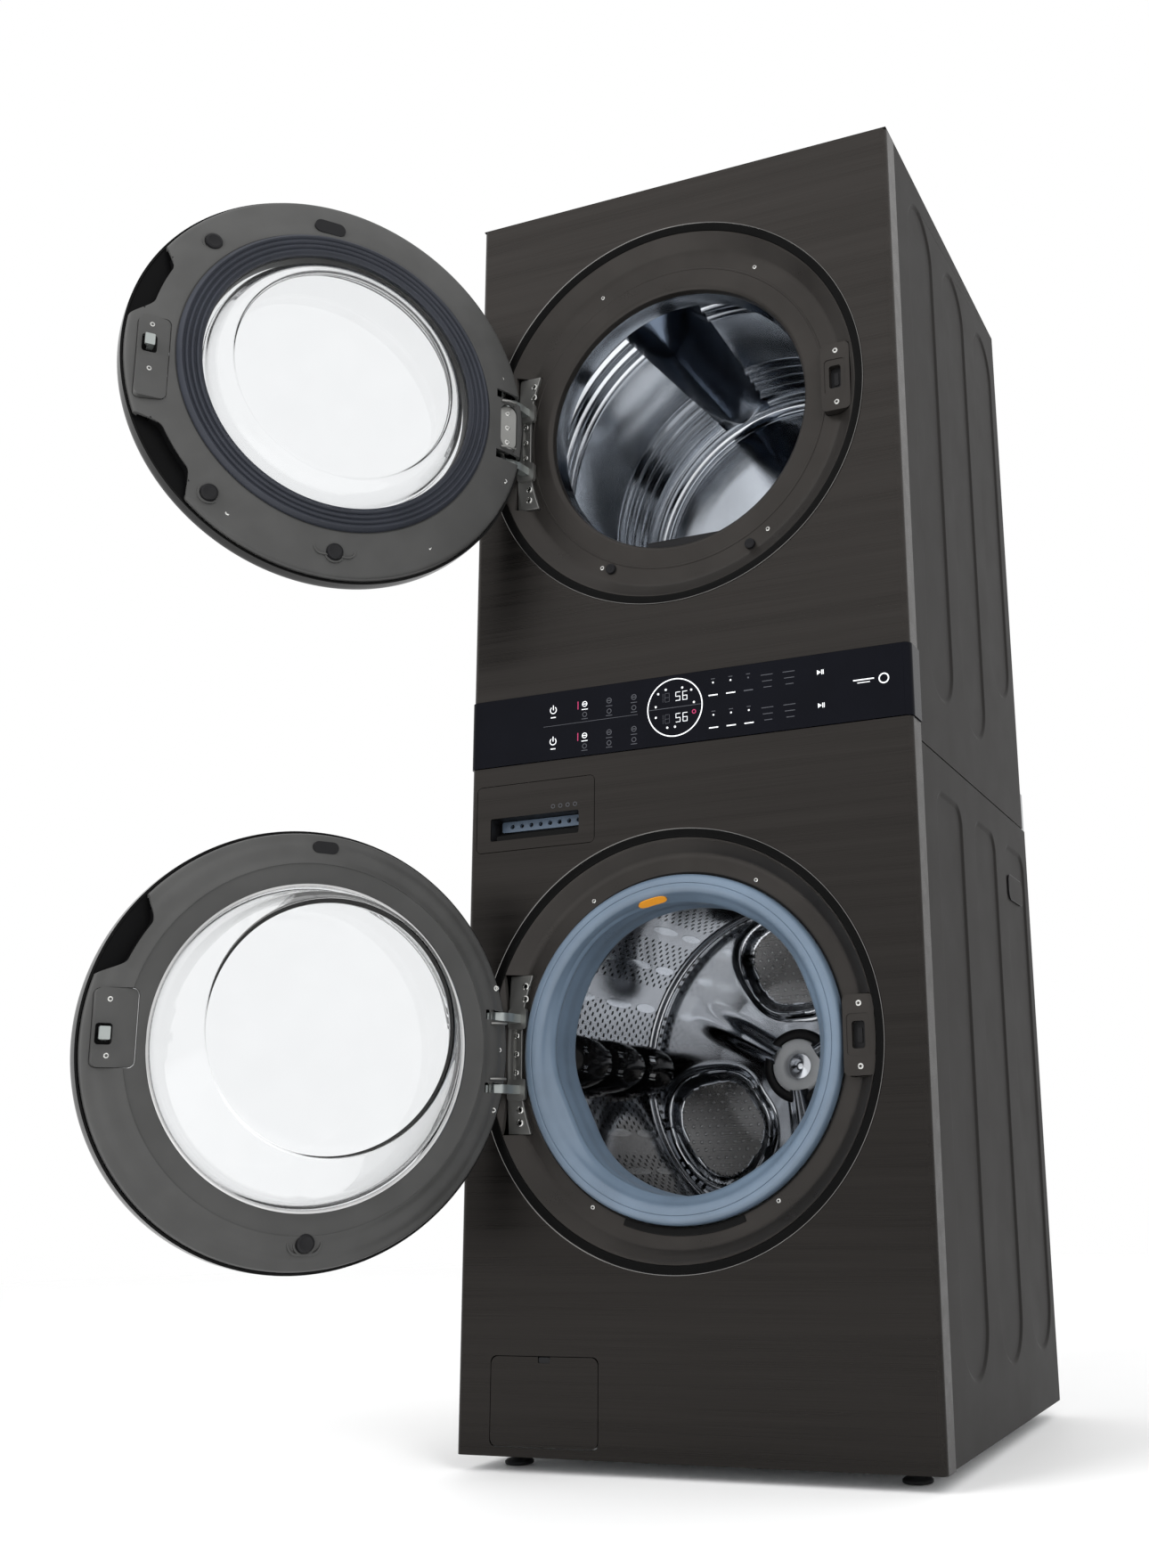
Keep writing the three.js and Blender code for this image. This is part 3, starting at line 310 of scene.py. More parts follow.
blue_grey = moulded("drawer_inner_plastic", (0.085, 0.12, 0.17), 0.4, 0.1)
hub_white = moulded("hub_cap_plastic", (0.74, 0.76, 0.78), 0.3, 0.04)
blank_orange = moulded("plain_orange_tag", (0.75, 0.30, 0.02), 0.4, 0.05)
print("moulded finishes ready")

# %% [markdown]
# ## Glass
#
# The bowls are thick pressed glass. They are real shells here, with an inside and an outside, so light
# bends at both faces and draws the dark and bright lines round the rims. The control band is different: it
# is a black sheet behind glass, so an opaque, smooth black with almost no reflection is enough. Its gloss
# drifts a little, as the faint film that fingers leave would make it.

# %% Glass finishes
def clear_glass(name, tint, roughness=0.0):
    finish = Finish(name, tint, roughness, 0.0, Transmission_Weight=1.0, IOR=1.46)
    x, y, z = finish.where()
    haze = finish.noise(finish.point(x, y, z), 0.02, 2.0)
    finish.colour(finish.mix(haze, [c * 0.97 for c in tint], tint))
    finish.rough(finish.smooth(haze, 0.45, 0.8) * 0.02)
    return finish.material


bowl_glass = clear_glass("pressed_bowl_glass", (0.985, 0.99, 0.992))
window_glass = clear_glass("outer_window_glass", (0.93, 0.94, 0.95))
band_glass = moulded("black_band_glass", (0.0028, 0.0031, 0.0052), 0.16, 0.0, Specular_IOR_Level=0.07)
print("glass ready")

# %% [markdown]
# ## Building pieces
#
# Every piece is made from a few workshop moves: turn a profile on a lathe, cut a plate to an outline, run a
# strip along a path, or carve one shape out of another. Each helper below returns a small mesh in
# millimetres. A last helper, piece, turns it into an object, gives it a finish, and says which body of the
# engineering model it rides on; the plain solid it stands for is hidden.

# %% Lathe, plate, strip and pipe
def new_shape(points, faces):
    shape = bmesh.new()
    made = [shape.verts.new(p) for p in points]
    for face in faces:
        corners = list(dict.fromkeys(face))
        if len(corners) > 2:
            shape.faces.new([made[i] for i in corners])
    shape.normal_update()
    return shape


def lathe(profile, turns=160, bend=None, closed=True):
    """Turns (radius, depth) points about the y axis. bend may move a point: bend(radius, depth, angle)."""
    points, faces, rows = [], [], []
    for radius, depth in profile:
        if radius <= 0:
            rows.append([len(points)] * turns)
            points.append((0, depth, 0) if bend is None else bend(0, depth, 0))
            continue
        rows.append(list(range(len(points), len(points) + turns)))
        for step in range(turns):
            angle = 2 * math.pi * step / turns
            if bend is None:
                points.append((radius * math.cos(angle), depth, radius * math.sin(angle)))
            else:
                points.append(bend(radius, depth, angle))
    pairs = list(zip(rows, rows[1:] + rows[:1])) if closed else list(zip(rows, rows[1:]))
    for low, high in pairs:
        for i in range(turns):
            j = (i + 1) % turns
            faces.append((low[i], low[j], high[j], high[i]))
    shape = new_shape(points, faces)
    bmesh.ops.remove_doubles(shape, verts=shape.verts, dist=1e-4)
    bmesh.ops.recalc_face_normals(shape, faces=shape.faces)
    return shape


def plate(outlines, low, high, axis="y"):
    """A flat plate from an outline and any holes, as lists of two numbers, with depth from low to high."""
    def spot(a, b, c):
        return {"y": (a, c, b), "x": (c, a, b), "z": (a, b, c)}[axis]

    shape = bmesh.new()
    rings = {}
    for depth in (low, high):
        edges = []
        for number, outline in enumerate(outlines):
            ring = [shape.verts.new(spot(a, b, depth)) for a, b in outline]
            rings[number, depth] = ring
            edges += [shape.edges.new((ring[i - 1], ring[i])) for i in range(len(ring))]
        bmesh.ops.triangle_fill(shape, edges=edges, use_beauty=True, use_dissolve=False)
    for number in range(len(outlines)):
        near, far = rings[number, low], rings[number, high]
        for i in range(len(near)):
            shape.faces.new((near[i - 1], near[i], far[i], far[i - 1]))
    bmesh.ops.recalc_face_normals(shape, faces=shape.faces)
    return shape


def circle(x, y, radius, steps=96):
    return [(x + radius * math.cos(2 * math.pi * i / steps), y + radius * math.sin(2 * math.pi * i / steps))
            for i in range(steps)]


def rounded(x0, x1, y0, y1, radius, steps=8):
    """A rectangle with round corners."""
    points = []
    corners = [(x1 - radius, y0 + radius, -90), (x1 - radius, y1 - radius, 0),
               (x0 + radius, y1 - radius, 90), (x0 + radius, y0 + radius, 180)]
    for cx, cy, start in corners:
        for i in range(steps + 1):
            angle = math.radians(start + 90 * i / steps)
            points.append((cx + radius * math.cos(angle), cy + radius * math.sin(angle)))
    return points


def block(x0, x1, y0, y1, z0, z1, radius):
    """A block whose corners are round when it is seen from the front."""
    return plate([rounded(x0, x1, z0, z1, radius)], y0, y1)


def curved(points, steps=10):
    """A smooth line through points, as a run of Catmull-Rom spans."""
    line = []
    ends = [points[0]] + list(points) + [points[-1]]
    for before, first, second, after in zip(ends, ends[1:], ends[2:], ends[3:]):
        for i in range(steps):
            t = i / steps
            line.append(tuple(
                0.5 * (2 * b + (c - a) * t + (2 * a - 5 * b + 4 * c - d) * t * t
                       + (3 * b - a - 3 * c + d) * t ** 3)
                for a, b, c, d in zip(before, first, second, after)))
    return line + [tuple(points[-1])]


def strip(path, thickness, low, high, axis="z"):
    """A bent strap: a line of even thickness in a plane, pushed from low to high along the third axis."""
    left, right = [], []
    for i, (x, y) in enumerate(path):
        ax, ay = path[max(i - 1, 0)]
        bx, by = path[min(i + 1, len(path) - 1)]
        length = math.hypot(bx - ax, by - ay) or 1
        nx, ny = -(by - ay) / length * thickness / 2, (bx - ax) / length * thickness / 2
        left.append((x + nx, y + ny))
        right.append((x - nx, y - ny))
    return plate([left + right[::-1]], low, high, axis)


def pipe(path, radius, sides=10):
    """A round wire along a line of points."""
    points, faces = [], []
    for i, spot in enumerate(path):
        ahead = Vector(path[min(i + 1, len(path) - 1)]) - Vector(path[max(i - 1, 0)])
        turn = ahead.to_track_quat("Z", "Y")
        for step in range(sides):
            angle = 2 * math.pi * step / sides
            offset = turn @ Vector((radius * math.cos(angle), radius * math.sin(angle), 0))
            points.append(tuple(Vector(spot) + offset))
    for i in range(len(path) - 1):
        for j in range(sides):
            k = (j + 1) % sides
            faces.append((i * sides + j, i * sides + k, (i + 1) * sides + k, (i + 1) * sides + j))
    faces += [tuple(range(sides))[::-1], tuple(range(len(points) - sides, len(points)))]
    return new_shape(points, faces)


print("shape helpers ready")

# %% Joining, moving, carving and softening shapes
def joined(*shapes):
    """Puts several shapes in one mesh."""
    whole = bmesh.new()
    for shape in shapes:
        mesh = bpy.data.meshes.new("part")
        shape.to_mesh(mesh)
        whole.from_mesh(mesh)
        bpy.data.meshes.remove(mesh)
        shape.free()
    return whole


def moved(shape, x=0.0, y=0.0, z=0.0, turn=0.0, axis="Y"):
    """Turns a shape about the origin, in degrees, and then moves it."""
    matrix = Matrix.Translation((x, y, z)) @ Matrix.Rotation(math.radians(turn), 4, axis)
    bmesh.ops.transform(shape, matrix=matrix, verts=shape.verts)
    return shape


def as_object(shape, name):
    mesh = bpy.data.meshes.new(name)
    shape.to_mesh(mesh)
    shape.free()
    thing = bpy.data.objects.new(name, mesh)
    bpy.context.scene.collection.objects.link(thing)
    return thing


def settled(thing):
    """Applies every modifier and returns the result as a shape. The object is removed."""
    view = bpy.context.evaluated_depsgraph_get()
    shape = bmesh.new()
    shape.from_object(thing, view)
    mesh = thing.data
    bpy.data.objects.remove(thing)
    bpy.data.meshes.remove(mesh)
    return shape


def carved(shape, *cutters):
    """Cuts shapes out of a shape."""
    thing = as_object(shape, "work")
    tools = [as_object(cutter, "tool") for cutter in cutters]
    for tool in tools:
        cut = thing.modifiers.new("cut", "BOOLEAN")
        cut.operation, cut.object, cut.solver = "DIFFERENCE", tool, "EXACT"
    shape = settled(thing)
    for tool in tools:
        bpy.data.objects.remove(tool)
    return shape


def softened(shape, width, segments=2, angle=35):
    """Rounds the sharp edges of a shape."""
    thing = as_object(shape, "work")
    bevel = thing.modifiers.new("bevel", "BEVEL")
    bevel.width, bevel.segments, bevel.limit_method = width, segments, "ANGLE"
    bevel.angle_limit = math.radians(angle)
    bevel.use_clamp_overlap = True
    return settled(thing)


def piece(name, shape, finish, body, place=None, replaces=(), smooth=32):
    """Makes the object: metres, finish, smooth shading up to an angle, and the body it rides on."""
    bmesh.ops.scale(shape, vec=(MM, MM, MM), verts=shape.verts)
    thing = as_object(shape, name)
    thing.data.shade_smooth()
    thing.data.set_sharp_from_angle(angle=math.radians(smooth))
    thing.data.materials.append(finish)
    even = thing.modifiers.new("even", "WEIGHTED_NORMAL")
    even.keep_sharp = True
    thing.matrix_world = place or Matrix.Translation(at(0, 0, 0))
    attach(thing, body)
    if replaces:
        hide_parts(*replaces)
    print(name, len(thing.data.polygons), "faces")
    return thing


CABINET = "cabinet"
port_place = {
    "dryer": Matrix.Translation(at(port_x, 0, dryer_z)),
    "washer": Matrix.Translation(at(port_x, 0, washer_z)),
}


def door_place(kind):
    """Where a door's own frame is when it stands open: its port's frame, swung about the hinge pin."""
    joint = joints[kind + "_door_hinge"]
    pin = Matrix.Translation(joint["pos_m"])
    swing = Matrix.Rotation(math.radians(joint["range_deg"][0]), 4, "Z")
    return pin @ swing @ pin.inverted() @ port_place[kind]


def screw(x, y, z, radius=4.2, facing=-1):
    """A pan head with a dished middle, facing the front when facing is -1."""
    head = lathe([(0, 0.6), (radius * 0.35, 0.6), (radius * 0.45, -0.9), (radius * 0.7, -1.1),
                  (radius * 0.95, -0.5), (radius, 0.8), (radius * 0.9, 1.6), (0, 1.6)], 20, closed=False)
    for vert in head.verts:
        vert.co.y *= -facing
    bmesh.ops.recalc_face_normals(head, faces=head.faces)
    return moved(head, x, y, z)


print("pieces can be made")

# %% [markdown]
# ## The front skin
#
# Each front panel is one sheet folded round both corners of the cabinet, with a soft 9 mm bend. We could
# bevel a box, but the holes for the ports would then disturb the bend's shading. So the flat face is a
# plate with its holes, and each corner is a strip of the same sheet run round the bend and a little way
# down the side.

# %% Folded panels
CORNER = 9
SHEET = 1.5
FLANGE = (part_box("front_panel_washer")[1].y - front_y) / MM


def folded_panel(low, high, proud=0.0, thickness=SHEET, holes=()):
    """A U-shaped sheet, standing proud of the cabinet's front by a given amount."""
    edge, bend = half_width + proud, CORNER + proud
    face = plate([[(-edge + bend, low), (edge - bend, low), (edge - bend, high), (-edge + bend, high)],
                  *holes],
                 -proud, thickness - proud)
    shapes = [face]
    for side in (-1, 1):
        path = []
        for i in range(13):
            angle = math.radians(90 * i / 12)
            path.append((side * (edge - bend + (bend - thickness / 2) * math.sin(angle)),
                         bend - proud - (bend - thickness / 2) * math.cos(angle)))
        path.append((side * (edge - thickness / 2), FLANGE))
        shapes.append(strip(path, thickness, low, high))
    return joined(*shapes)


def span(node):
    low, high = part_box(node)
    return low.z / MM, high.z / MM


def opening(node, gap):
    """The outline of a flap's opening in the panel, a little larger than the flap."""
    low, high = (in_mm(corner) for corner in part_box(node))
    return rounded(low[0] - gap, high[0] + gap, low[2] - gap, high[2] + gap, 9)


ring_radius = {kind: (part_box("port_ring_" + kind)[1].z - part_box("port_ring_" + kind)[0].z) / 2 / MM
               for kind in ("dryer", "washer")}
low, high = span("front_panel_dryer")
piece("dryer_front_skin",
      folded_panel(low, high, holes=[circle(port_x, dryer_z, ring_radius["dryer"] - 5, 128)]),
      dark_steel, CABINET, replaces=["front_panel_dryer"])
low, high = span("front_panel_washer")
piece("washer_front_skin",
      folded_panel(low, high, holes=[circle(port_x, washer_z, ring_radius["washer"] - 5, 128),
                                     opening("drawer_front", 1), opening("pump_access_door", 1)]),
      dark_steel, CABINET, replaces=["front_panel_washer"])
band_low, band_high = span("control_fascia")
piece("control_band_glass", folded_panel(band_low, band_high, 2.0, 4.0),
      band_glass, CABINET, replaces=["control_fascia"])

# %% [markdown]
# ## The control band's icons
#
# The band is touch glass: its marks are light shining through a mask, so they sit flush. We make them as
# very thin plates on the glass. Digits are seven straight bars, as on any clock, and the other marks are
# plain shapes of our own: a power ring, a play sign, a row of short bars where a real one would have words.

# %% Light through the glass
def lit(name, colour, strength):
    finish = Finish(name, colour, 0.4, 0.0, Emission_Strength=strength)
    x, y, z = finish.where()
    glow = finish.noise(finish.point(x, y, z), 0.25, 2.0)
    shade = finish.mix(glow, [c * 0.75 for c in colour], colour)
    finish.colour(shade)
    finish.fill(finish.shader, {"Emission Color": shade})
    return finish.material


mark_white = lit("bright_mark", (0.82, 0.84, 0.86), 0.55)
mark_dim = lit("dim_mark", (0.052, 0.055, 0.065), 0.25)
mark_pink = lit("pink_mark", (0.45, 0.03, 0.12), 0.35)
MARK_FRONT = -2.25
MARK_BACK = -1.95


def bar(x0, x1, z0, z1):
    return plate([[(x0, z0), (x1, z0), (x1, z1), (x0, z1)]], MARK_FRONT, MARK_BACK)


def arc(x, z, radius, thickness, start=0, end=360, steps=64):
    """Part of a ring, or a whole one."""
    if end - start >= 360:
        return plate([circle(x, z, radius, steps), circle(x, z, radius - thickness, steps)], MARK_FRONT,
                     MARK_BACK)
    turns = [math.radians(start + (end - start) * i / steps) for i in range(steps + 1)]
    outside = [(x + radius * math.cos(a), z + radius * math.sin(a)) for a in turns]
    inside = [(x + (radius - thickness) * math.cos(a), z + (radius - thickness) * math.sin(a)) for a in turns]
    return plate([outside + inside[::-1]], MARK_FRONT, MARK_BACK)


def digit(x, z, lit_bars, width=8.0, height=14.0, t=1.5):
    """A seven-bar digit. Bars: a top, b and c right, d bottom, e and f left, g middle."""
    h, w = height / 2, width
    bars = {
        "a": (x, x + w, z + height - t, z + height), "g": (x, x + w, z + h - t / 2, z + h + t / 2),
        "d": (x, x + w, z, z + t), "f": (x, x + t, z + h, z + height), "e": (x, x + t, z, z + h),
        "b": (x + w - t, x + w, z + h, z + height), "c": (x + w - t, x + w, z, z + h),
    }
    gap = 0.35
    return [bar(x0 + gap, x1 - gap, z0 + gap, z1 - gap) for key, (x0, x1, z0, z1) in bars.items()
            if key in lit_bars]


band_middle = (band_low + band_high) / 2
dial_x, dial_z = -7, band_middle + 3
row_up, row_down = dial_z + 9, dial_z - 23
bright, dim, pink = [arc(dial_x, dial_z, 43.5, 1.6, steps=96)], [], []
for row, z in enumerate((row_up, row_down)):
    bright += digit(dial_x + 1, z, "afgcd") + digit(dial_x + 12, z, "afgcde")
    dim += digit(dial_x - 16, z, "abcdefg", t=1.2) + digit(dial_x - 26, z, "bc", t=1.2)
    power_z = band_middle + (24 if row == 0 else -24)
    bright += [arc(-204, power_z, 5.6, 1.2, -235, 55, 40), bar(-204.6, -203.4, power_z, power_z + 7.5)]
    bright += [bar(-208, -200, power_z - 12, power_z - 10.6)]
    bright += [plate([[(210, power_z - 2.4), (215.4, power_z + 1), (210, power_z + 4.4)]], MARK_FRONT,
                     MARK_BACK),
               bar(216.2, 217.4, power_z - 2.4, power_z + 4.4),
               bar(218.4, 219.6, power_z - 2.4, power_z + 4.4)]
    for column, x in enumerate((-152, -112, -72)):
        group = bright if column == 0 else dim
        group += [arc(x, power_z + 3, 4.2, 1.0, steps=24),
                  bar(x - 2.6, x + 2.6, power_z + 2.4, power_z + 3.6)]
        group += [bar(x - 5, x + 5, power_z - 5.6, power_z - 4.6)]
        dim += [arc(x, power_z - 13, 3.8, 1.0, steps=24), bar(x - 5, x + 5, power_z - 20, power_z - 19)]
    pink += [bar(-163.6, -162.4, power_z - 4, power_z + 8)]
    for column, x in enumerate((53, 80, 107)):
        group = dim if (row == 0 and column == 2) else bright
        group += [bar(x - 7, x + 7, power_z - 11.4, power_z - 9.8), arc(x, power_z + 8, 1.3, 1.2, steps=16)]
        dim += [bar(x - 3, x + 3, power_z + 13, power_z + 14)]
    for x in (135, 168):
        for line in range(3):
            dim += [bar(x - 9 + 2 * line, x + 9 - line, power_z + 8 - 9 * line, power_z + 9 - 9 * line)]
for x, z in ((-26, 23), (-14, 28), (12, 28), (26, 23), (30, 4), (-30, 4), (-30, -12), (-12, -29), (0, -29)):
    bright.append(arc(dial_x + x, dial_z + z, 1.6, 0.9, steps=16))
pink.append(arc(dial_x + 30, dial_z - 10, 3.2, 1.1, steps=24))
dim.append(bar(-220, -66, band_middle - 0.4, band_middle + 0.2))
dim.append(bar(dial_x - 41, dial_x + 41, dial_z - 0.4, dial_z + 0.4))
bright += [bar(262, 292, band_middle + 5, band_middle + 6.6),
           bar(268, 286, band_middle + 1.2, band_middle + 2.2)]
bright.append(arc(306, band_middle + 4, 7.5, 1.7, steps=40))
for name, shapes, finish in (("band_marks_bright", bright, mark_white), ("band_marks_dim", dim, mark_dim),
                             ("band_marks_pink", pink, mark_pink)):
    piece(name, joined(*shapes), finish, CABINET)

# %% [markdown]
# ## The pressed sides
#
# Thin side sheets drum unless they are stiffened, so each has three long ribs pressed into it. A subdivided
# and displaced sheet would need a million faces to show the soft edge of a rib. Instead each rib is a set
# of nested outlines that step down along an S-shaped curve, and the flat sheet is filled only between the
# outer ones.

# %% Side sheets with ribs
RIB_DEPTH = 3.0
RIB_SHOULDER = 9
SIDE_SHEET = 1.2


def rib_outline(y0, y1, z0, z1, inset, crown, steps=14):
    """Round at the bottom. At the top it is round too, or nearly square when crown is small."""
    y0, y1, z0, z1 = y0 + inset, y1 - inset, z0 + inset, z1 - inset
    r, c = (y1 - y0) / 2, (y0 + y1) / 2
    crown = min(r, max(crown - inset, 3))
    points = []
    for cy, cz, radius, start, sweep in ((c, z0 + r, r, 180, 180), (y1 - crown, z1 - crown, crown, 0, 90),
                                         (y0 + crown, z1 - crown, crown, 90, 90)):
        count = steps * 2 if sweep == 180 else steps
        for i in range(count + 1):
            angle = math.radians(start + sweep * i / count)
            points.append((cy + radius * math.cos(angle), cz + radius * math.sin(angle)))
    return points


def pressed_sheet(side, back, low, high, ribs, slot=None):
    """One side of the cabinet, as a closed sheet. Ribs are (y0, y1, z0, z1, crown)."""
    shape = bmesh.new()
    front = FLANGE + 0.4
    face = [(front, low), (back, low), (back, high), (front, high)]
    loops = [face] + [rib_outline(*rib[:4], 0, rib[4]) for rib in ribs] + ([slot] if slot else [])
    rings, edges = [], []
    for loop in loops:
        ring = [shape.verts.new((side * half_width, y, z)) for y, z in loop]
        rings.append(ring)
        edges += [shape.edges.new((ring[i - 1], ring[i])) for i in range(len(ring))]
    bmesh.ops.triangle_fill(shape, edges=edges, use_beauty=True, use_dissolve=False)
    for number, rib in enumerate(ribs):
        last = rings[number + 1]
        for step in range(1, 9):
            share = step / 8
            depth = RIB_DEPTH * (1 - math.cos(math.pi * share)) / 2
            loop = rib_outline(*rib[:4], RIB_SHOULDER * share, rib[4])
            ring = [shape.verts.new((side * (half_width - depth), y, z)) for y, z in loop]
            for i in range(len(ring)):
                shape.faces.new((last[i - 1], last[i], ring[i], ring[i - 1]))
            last = ring
        shape.faces.new(last)
    bmesh.ops.recalc_face_normals(shape, faces=shape.faces)
    thing = as_object(shape, "work")
    sheet = thing.modifiers.new("sheet", "SOLIDIFY")
    sheet.thickness, sheet.offset = SIDE_SHEET, 0
    return moved(settled(thing), x=-side * SIDE_SHEET / 2)


dryer_low, dryer_high = span("side_panel_dryer_right")
washer_low, washer_high = span("side_panel_washer_right")
dryer_back = in_mm(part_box("side_panel_dryer_right")[1])[1]
washer_back = in_mm(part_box("side_panel_washer_right")[1])[1]
dryer_ribs = [(101, 242, 1040, dryer_high - 34, 99), (302, 442, 1035, dryer_high - 39, 99),
              (505, 642, 1160, dryer_high - 44, 99)]
washer_ribs = [(105, 249, 106, 901, 34), (320, 459, 106, 901, 34), (520, 665, 106, 901, 34)]
HOLD = (542, 642, 810, 850)
for hand, side in (("left", -1), ("right", 1)):
    hold = rounded(*HOLD, 14)
    piece("dryer_side_" + hand, pressed_sheet(side, dryer_back, dryer_low, dryer_high, dryer_ribs),
          side_paint, CABINET, replaces=["side_panel_dryer_" + hand])
    piece("washer_side_" + hand, pressed_sheet(side, washer_back, washer_low, washer_high, washer_ribs, hold),
          side_paint, CABINET, replaces=["side_panel_washer_" + hand])
    rows = [(0.0, HOLD, 14), (3.0, (HOLD[0] + 1, HOLD[1] - 1, HOLD[2] + 1, HOLD[3] - 1), 13),
            (12.0, (HOLD[0] + 3, HOLD[1] - 3, HOLD[2] + 3, HOLD[3] - 3), 11)]
    points, faces, count = [], [], len(hold)
    for depth, rectangle, radius in rows:
        points += [(side * (half_width - depth), y, z) for y, z in rounded(*rectangle, radius)]
    for row in range(len(rows) - 1):
        for i in range(count):
            j = (i + 1) % count
            faces.append((row * count + i, row * count + j, (row + 1) * count + j, (row + 1) * count + i))
    faces.append(tuple(range((len(rows) - 1) * count, len(rows) * count)))
    cup = new_shape(points, faces)
    bmesh.ops.recalc_face_normals(cup, faces=cup.faces)
    thing = as_object(cup, "work")
    wall = thing.modifiers.new("wall", "SOLIDIFY")
    wall.thickness, wall.offset = SIDE_SHEET, 1.0
    piece("hand_hold_cup_" + hand, settled(thing), black_plastic, CABINET)

# %% [markdown]
# ## The port rings
#
# Round each port there is a shallow dish that the door sinks into. It has four rings one inside the next: a
# thin bright rim, a black band, the satin dish and a rolled edge at the mouth. The rim, the band and the
# dish are each turned on the lathe from their own profile, because a change of material needs a clean edge.
# What sits in the dish is then carved out of it: the hinge's pocket and the latch's pocket.

# %% Rims, bands and dishes
LIP = 1.5


def hinge_outline(grow=0.0):
    """The waisted outline of a hinge's plate, from the dish's hinge side."""
    half, outer, tip, waist = 112 + grow, -265 - grow, -229 + grow, -245 + grow
    edge = curved([(tip, -half), (waist + 2, -62), (waist, 0), (waist + 2, 62), (tip, half)], 10)
    back = curved([(outer, half), (outer - 4, 0), (outer, -half)], 8)
    return edge + back


latch_reach = 262
LATCH = (latch_reach - 20, latch_reach + 24, -52, 54)
ports = {
    "dryer": dict(ring=309, chamfer=296, floor=266, mouth=209, depth=22, circle=244),
    "washer": dict(ring=302, chamfer=289, floor=262, mouth=240, depth=23, circle=0),
}
for kind, port in ports.items():
    ring, chamfer, floor, mouth, depth = (port[k] for k in ("ring", "chamfer", "floor", "mouth", "depth"))
    place = port_place[kind]
    rim = lathe([(ring, 0.6), (ring, -0.6), (ring - 0.5, -LIP), (ring - 1.3, -LIP), (ring - 1.8, -0.9),
                 (ring - 1.8, 0.6)], 200)
    piece(kind + "_port_rim", rim, rim_steel, CABINET, place)
    band = lathe([(ring - 1.9, -0.8), (ring - 3.2, -1.0), (chamfer + 2, 0.4), (chamfer, 1.6),
                  (chamfer - 0.6, 4.0),
                  (chamfer + 3, 5.0), (ring - 1.9, 4.0)], 200)
    piece(kind + "_port_band", band, band_black, CABINET, place)
    wall = [(chamfer - 0.8, 1.9), (chamfer - 2.2, 2.4), (chamfer - 6, 6), (floor + 9, depth - 4.0),
            (floor + 4, depth - 1.2), (floor - 2, depth)]
    if kind == "dryer":
        line = port["circle"]
        wall += [(line + 1.6, depth), (line + 1.1, depth - 0.7), (line - 1.1, depth - 0.7),
                 (line - 1.6, depth)]
        wall += [(mouth + 9, depth), (mouth + 5, depth + 1.2), (mouth + 1.6, depth + 4), (mouth, depth + 9)]
        back = [(mouth, depth + 14), (mouth + 2.4, depth + 14), (mouth + 2.4, depth + 10),
                (mouth + 12, depth + 3.4)]
    else:
        wall += [(mouth + 7, depth), (mouth + 3, depth + 0.8), (mouth + 0.6, depth + 2.6), (mouth, depth + 6)]
        back = [(mouth, depth + 7.5), (mouth + 3, depth + 7.5), (mouth + 10, depth + 3.4)]
    back += [(floor + 2, depth + 3.4), (floor + 12, depth), (chamfer - 2, 9), (chamfer + 1, 5.2)]
    dish = lathe(wall + back, 200)
    cutters = [plate([hinge_outline(0.8)], -10, depth + 1.8)]
    x0, x1, z0, z1 = LATCH
    cutters.append(block(x0 - 1, x1 + 1, -20, 60, z0 - 1, z1 + 1, 9))
    dish = carved(dish, *cutters)
    piece(kind + "_port_dish", dish, dish_satin, CABINET, place,
          replaces=["port_ring_" + kind], smooth=24)

# %% [markdown]
# ## What sits in the dishes
#
# Each latch is a satin plate with a black mouth that catches the door's striker, held by two screws. Four
# more screws hold each dish, and the dryer's has two rubber bumpers near the bottom. At the lowest point of
# the washer's dish there is a long black trim, where splashed water runs off.

# %% Latches, bumpers, screws and drain trim
for kind, port in ports.items():
    place, depth = port_place[kind], port["depth"]
    x0, x1, z0, z1 = LATCH
    face = 7.2
    slab = softened(block(x0, x1, face, 23.8, z0, z1, 8), 0.9, 2)
    slab = carved(slab, block(latch_reach - 8, latch_reach + 10, 0, 20, -17, 19, 4),
                  block(latch_reach - 15, latch_reach + 17, 0, face + 1.2, -27, 29, 6))
    piece("latch_plate_" + kind, slab, dish_satin, CABINET, place,
          replaces=["door_latch_" + kind], smooth=24)
    mouth = softened(block(latch_reach - 9, latch_reach + 11, 18.5, 22, -18, 20, 4), 0.4)
    hook = softened(block(latch_reach - 3, latch_reach + 4, 16.8, 19.5, -9, 11, 2), 0.5)
    piece("latch_mouth_" + kind, joined(mouth, hook), black_plastic, CABINET, place)
    heads = joined(screw(latch_reach + 3, face - 0.2, -40), screw(latch_reach + 3, face - 0.2, 42))
    piece("latch_screws_" + kind, heads, screw_steel, CABINET, place)


def bumper(x, y, z, radius, height):
    """A rubber button with a rolled edge and a dimple."""
    button = lathe([(0, -height * 0.82), (radius * 0.45, -height * 0.86), (radius * 0.7, -height),
                    (radius * 0.92, -height * 0.85), (radius, -height * 0.4), (radius, 0.8), (0, 0.8)],
                   40, closed=False)
    return moved(button, x, y, z)


def dish_screws(radius, angles, depth, size):
    spots = [(radius * math.cos(math.radians(a)), radius * math.sin(math.radians(a))) for a in angles]
    return joined(*[screw(x, depth - 0.5, z, size) for x, z in spots])


depth = ports["dryer"]["depth"]
piece("dryer_dish_bumpers",
      joined(bumper(-106, depth, -232, 8, 5), bumper(120, depth, -230, 8, 5)),
      black_rubber, CABINET, port_place["dryer"])
piece("dryer_dish_screws", dish_screws(258, (58, 118, 242, 305), depth, 3.6), screw_steel, CABINET,
      port_place["dryer"])
depth = ports["washer"]["depth"]


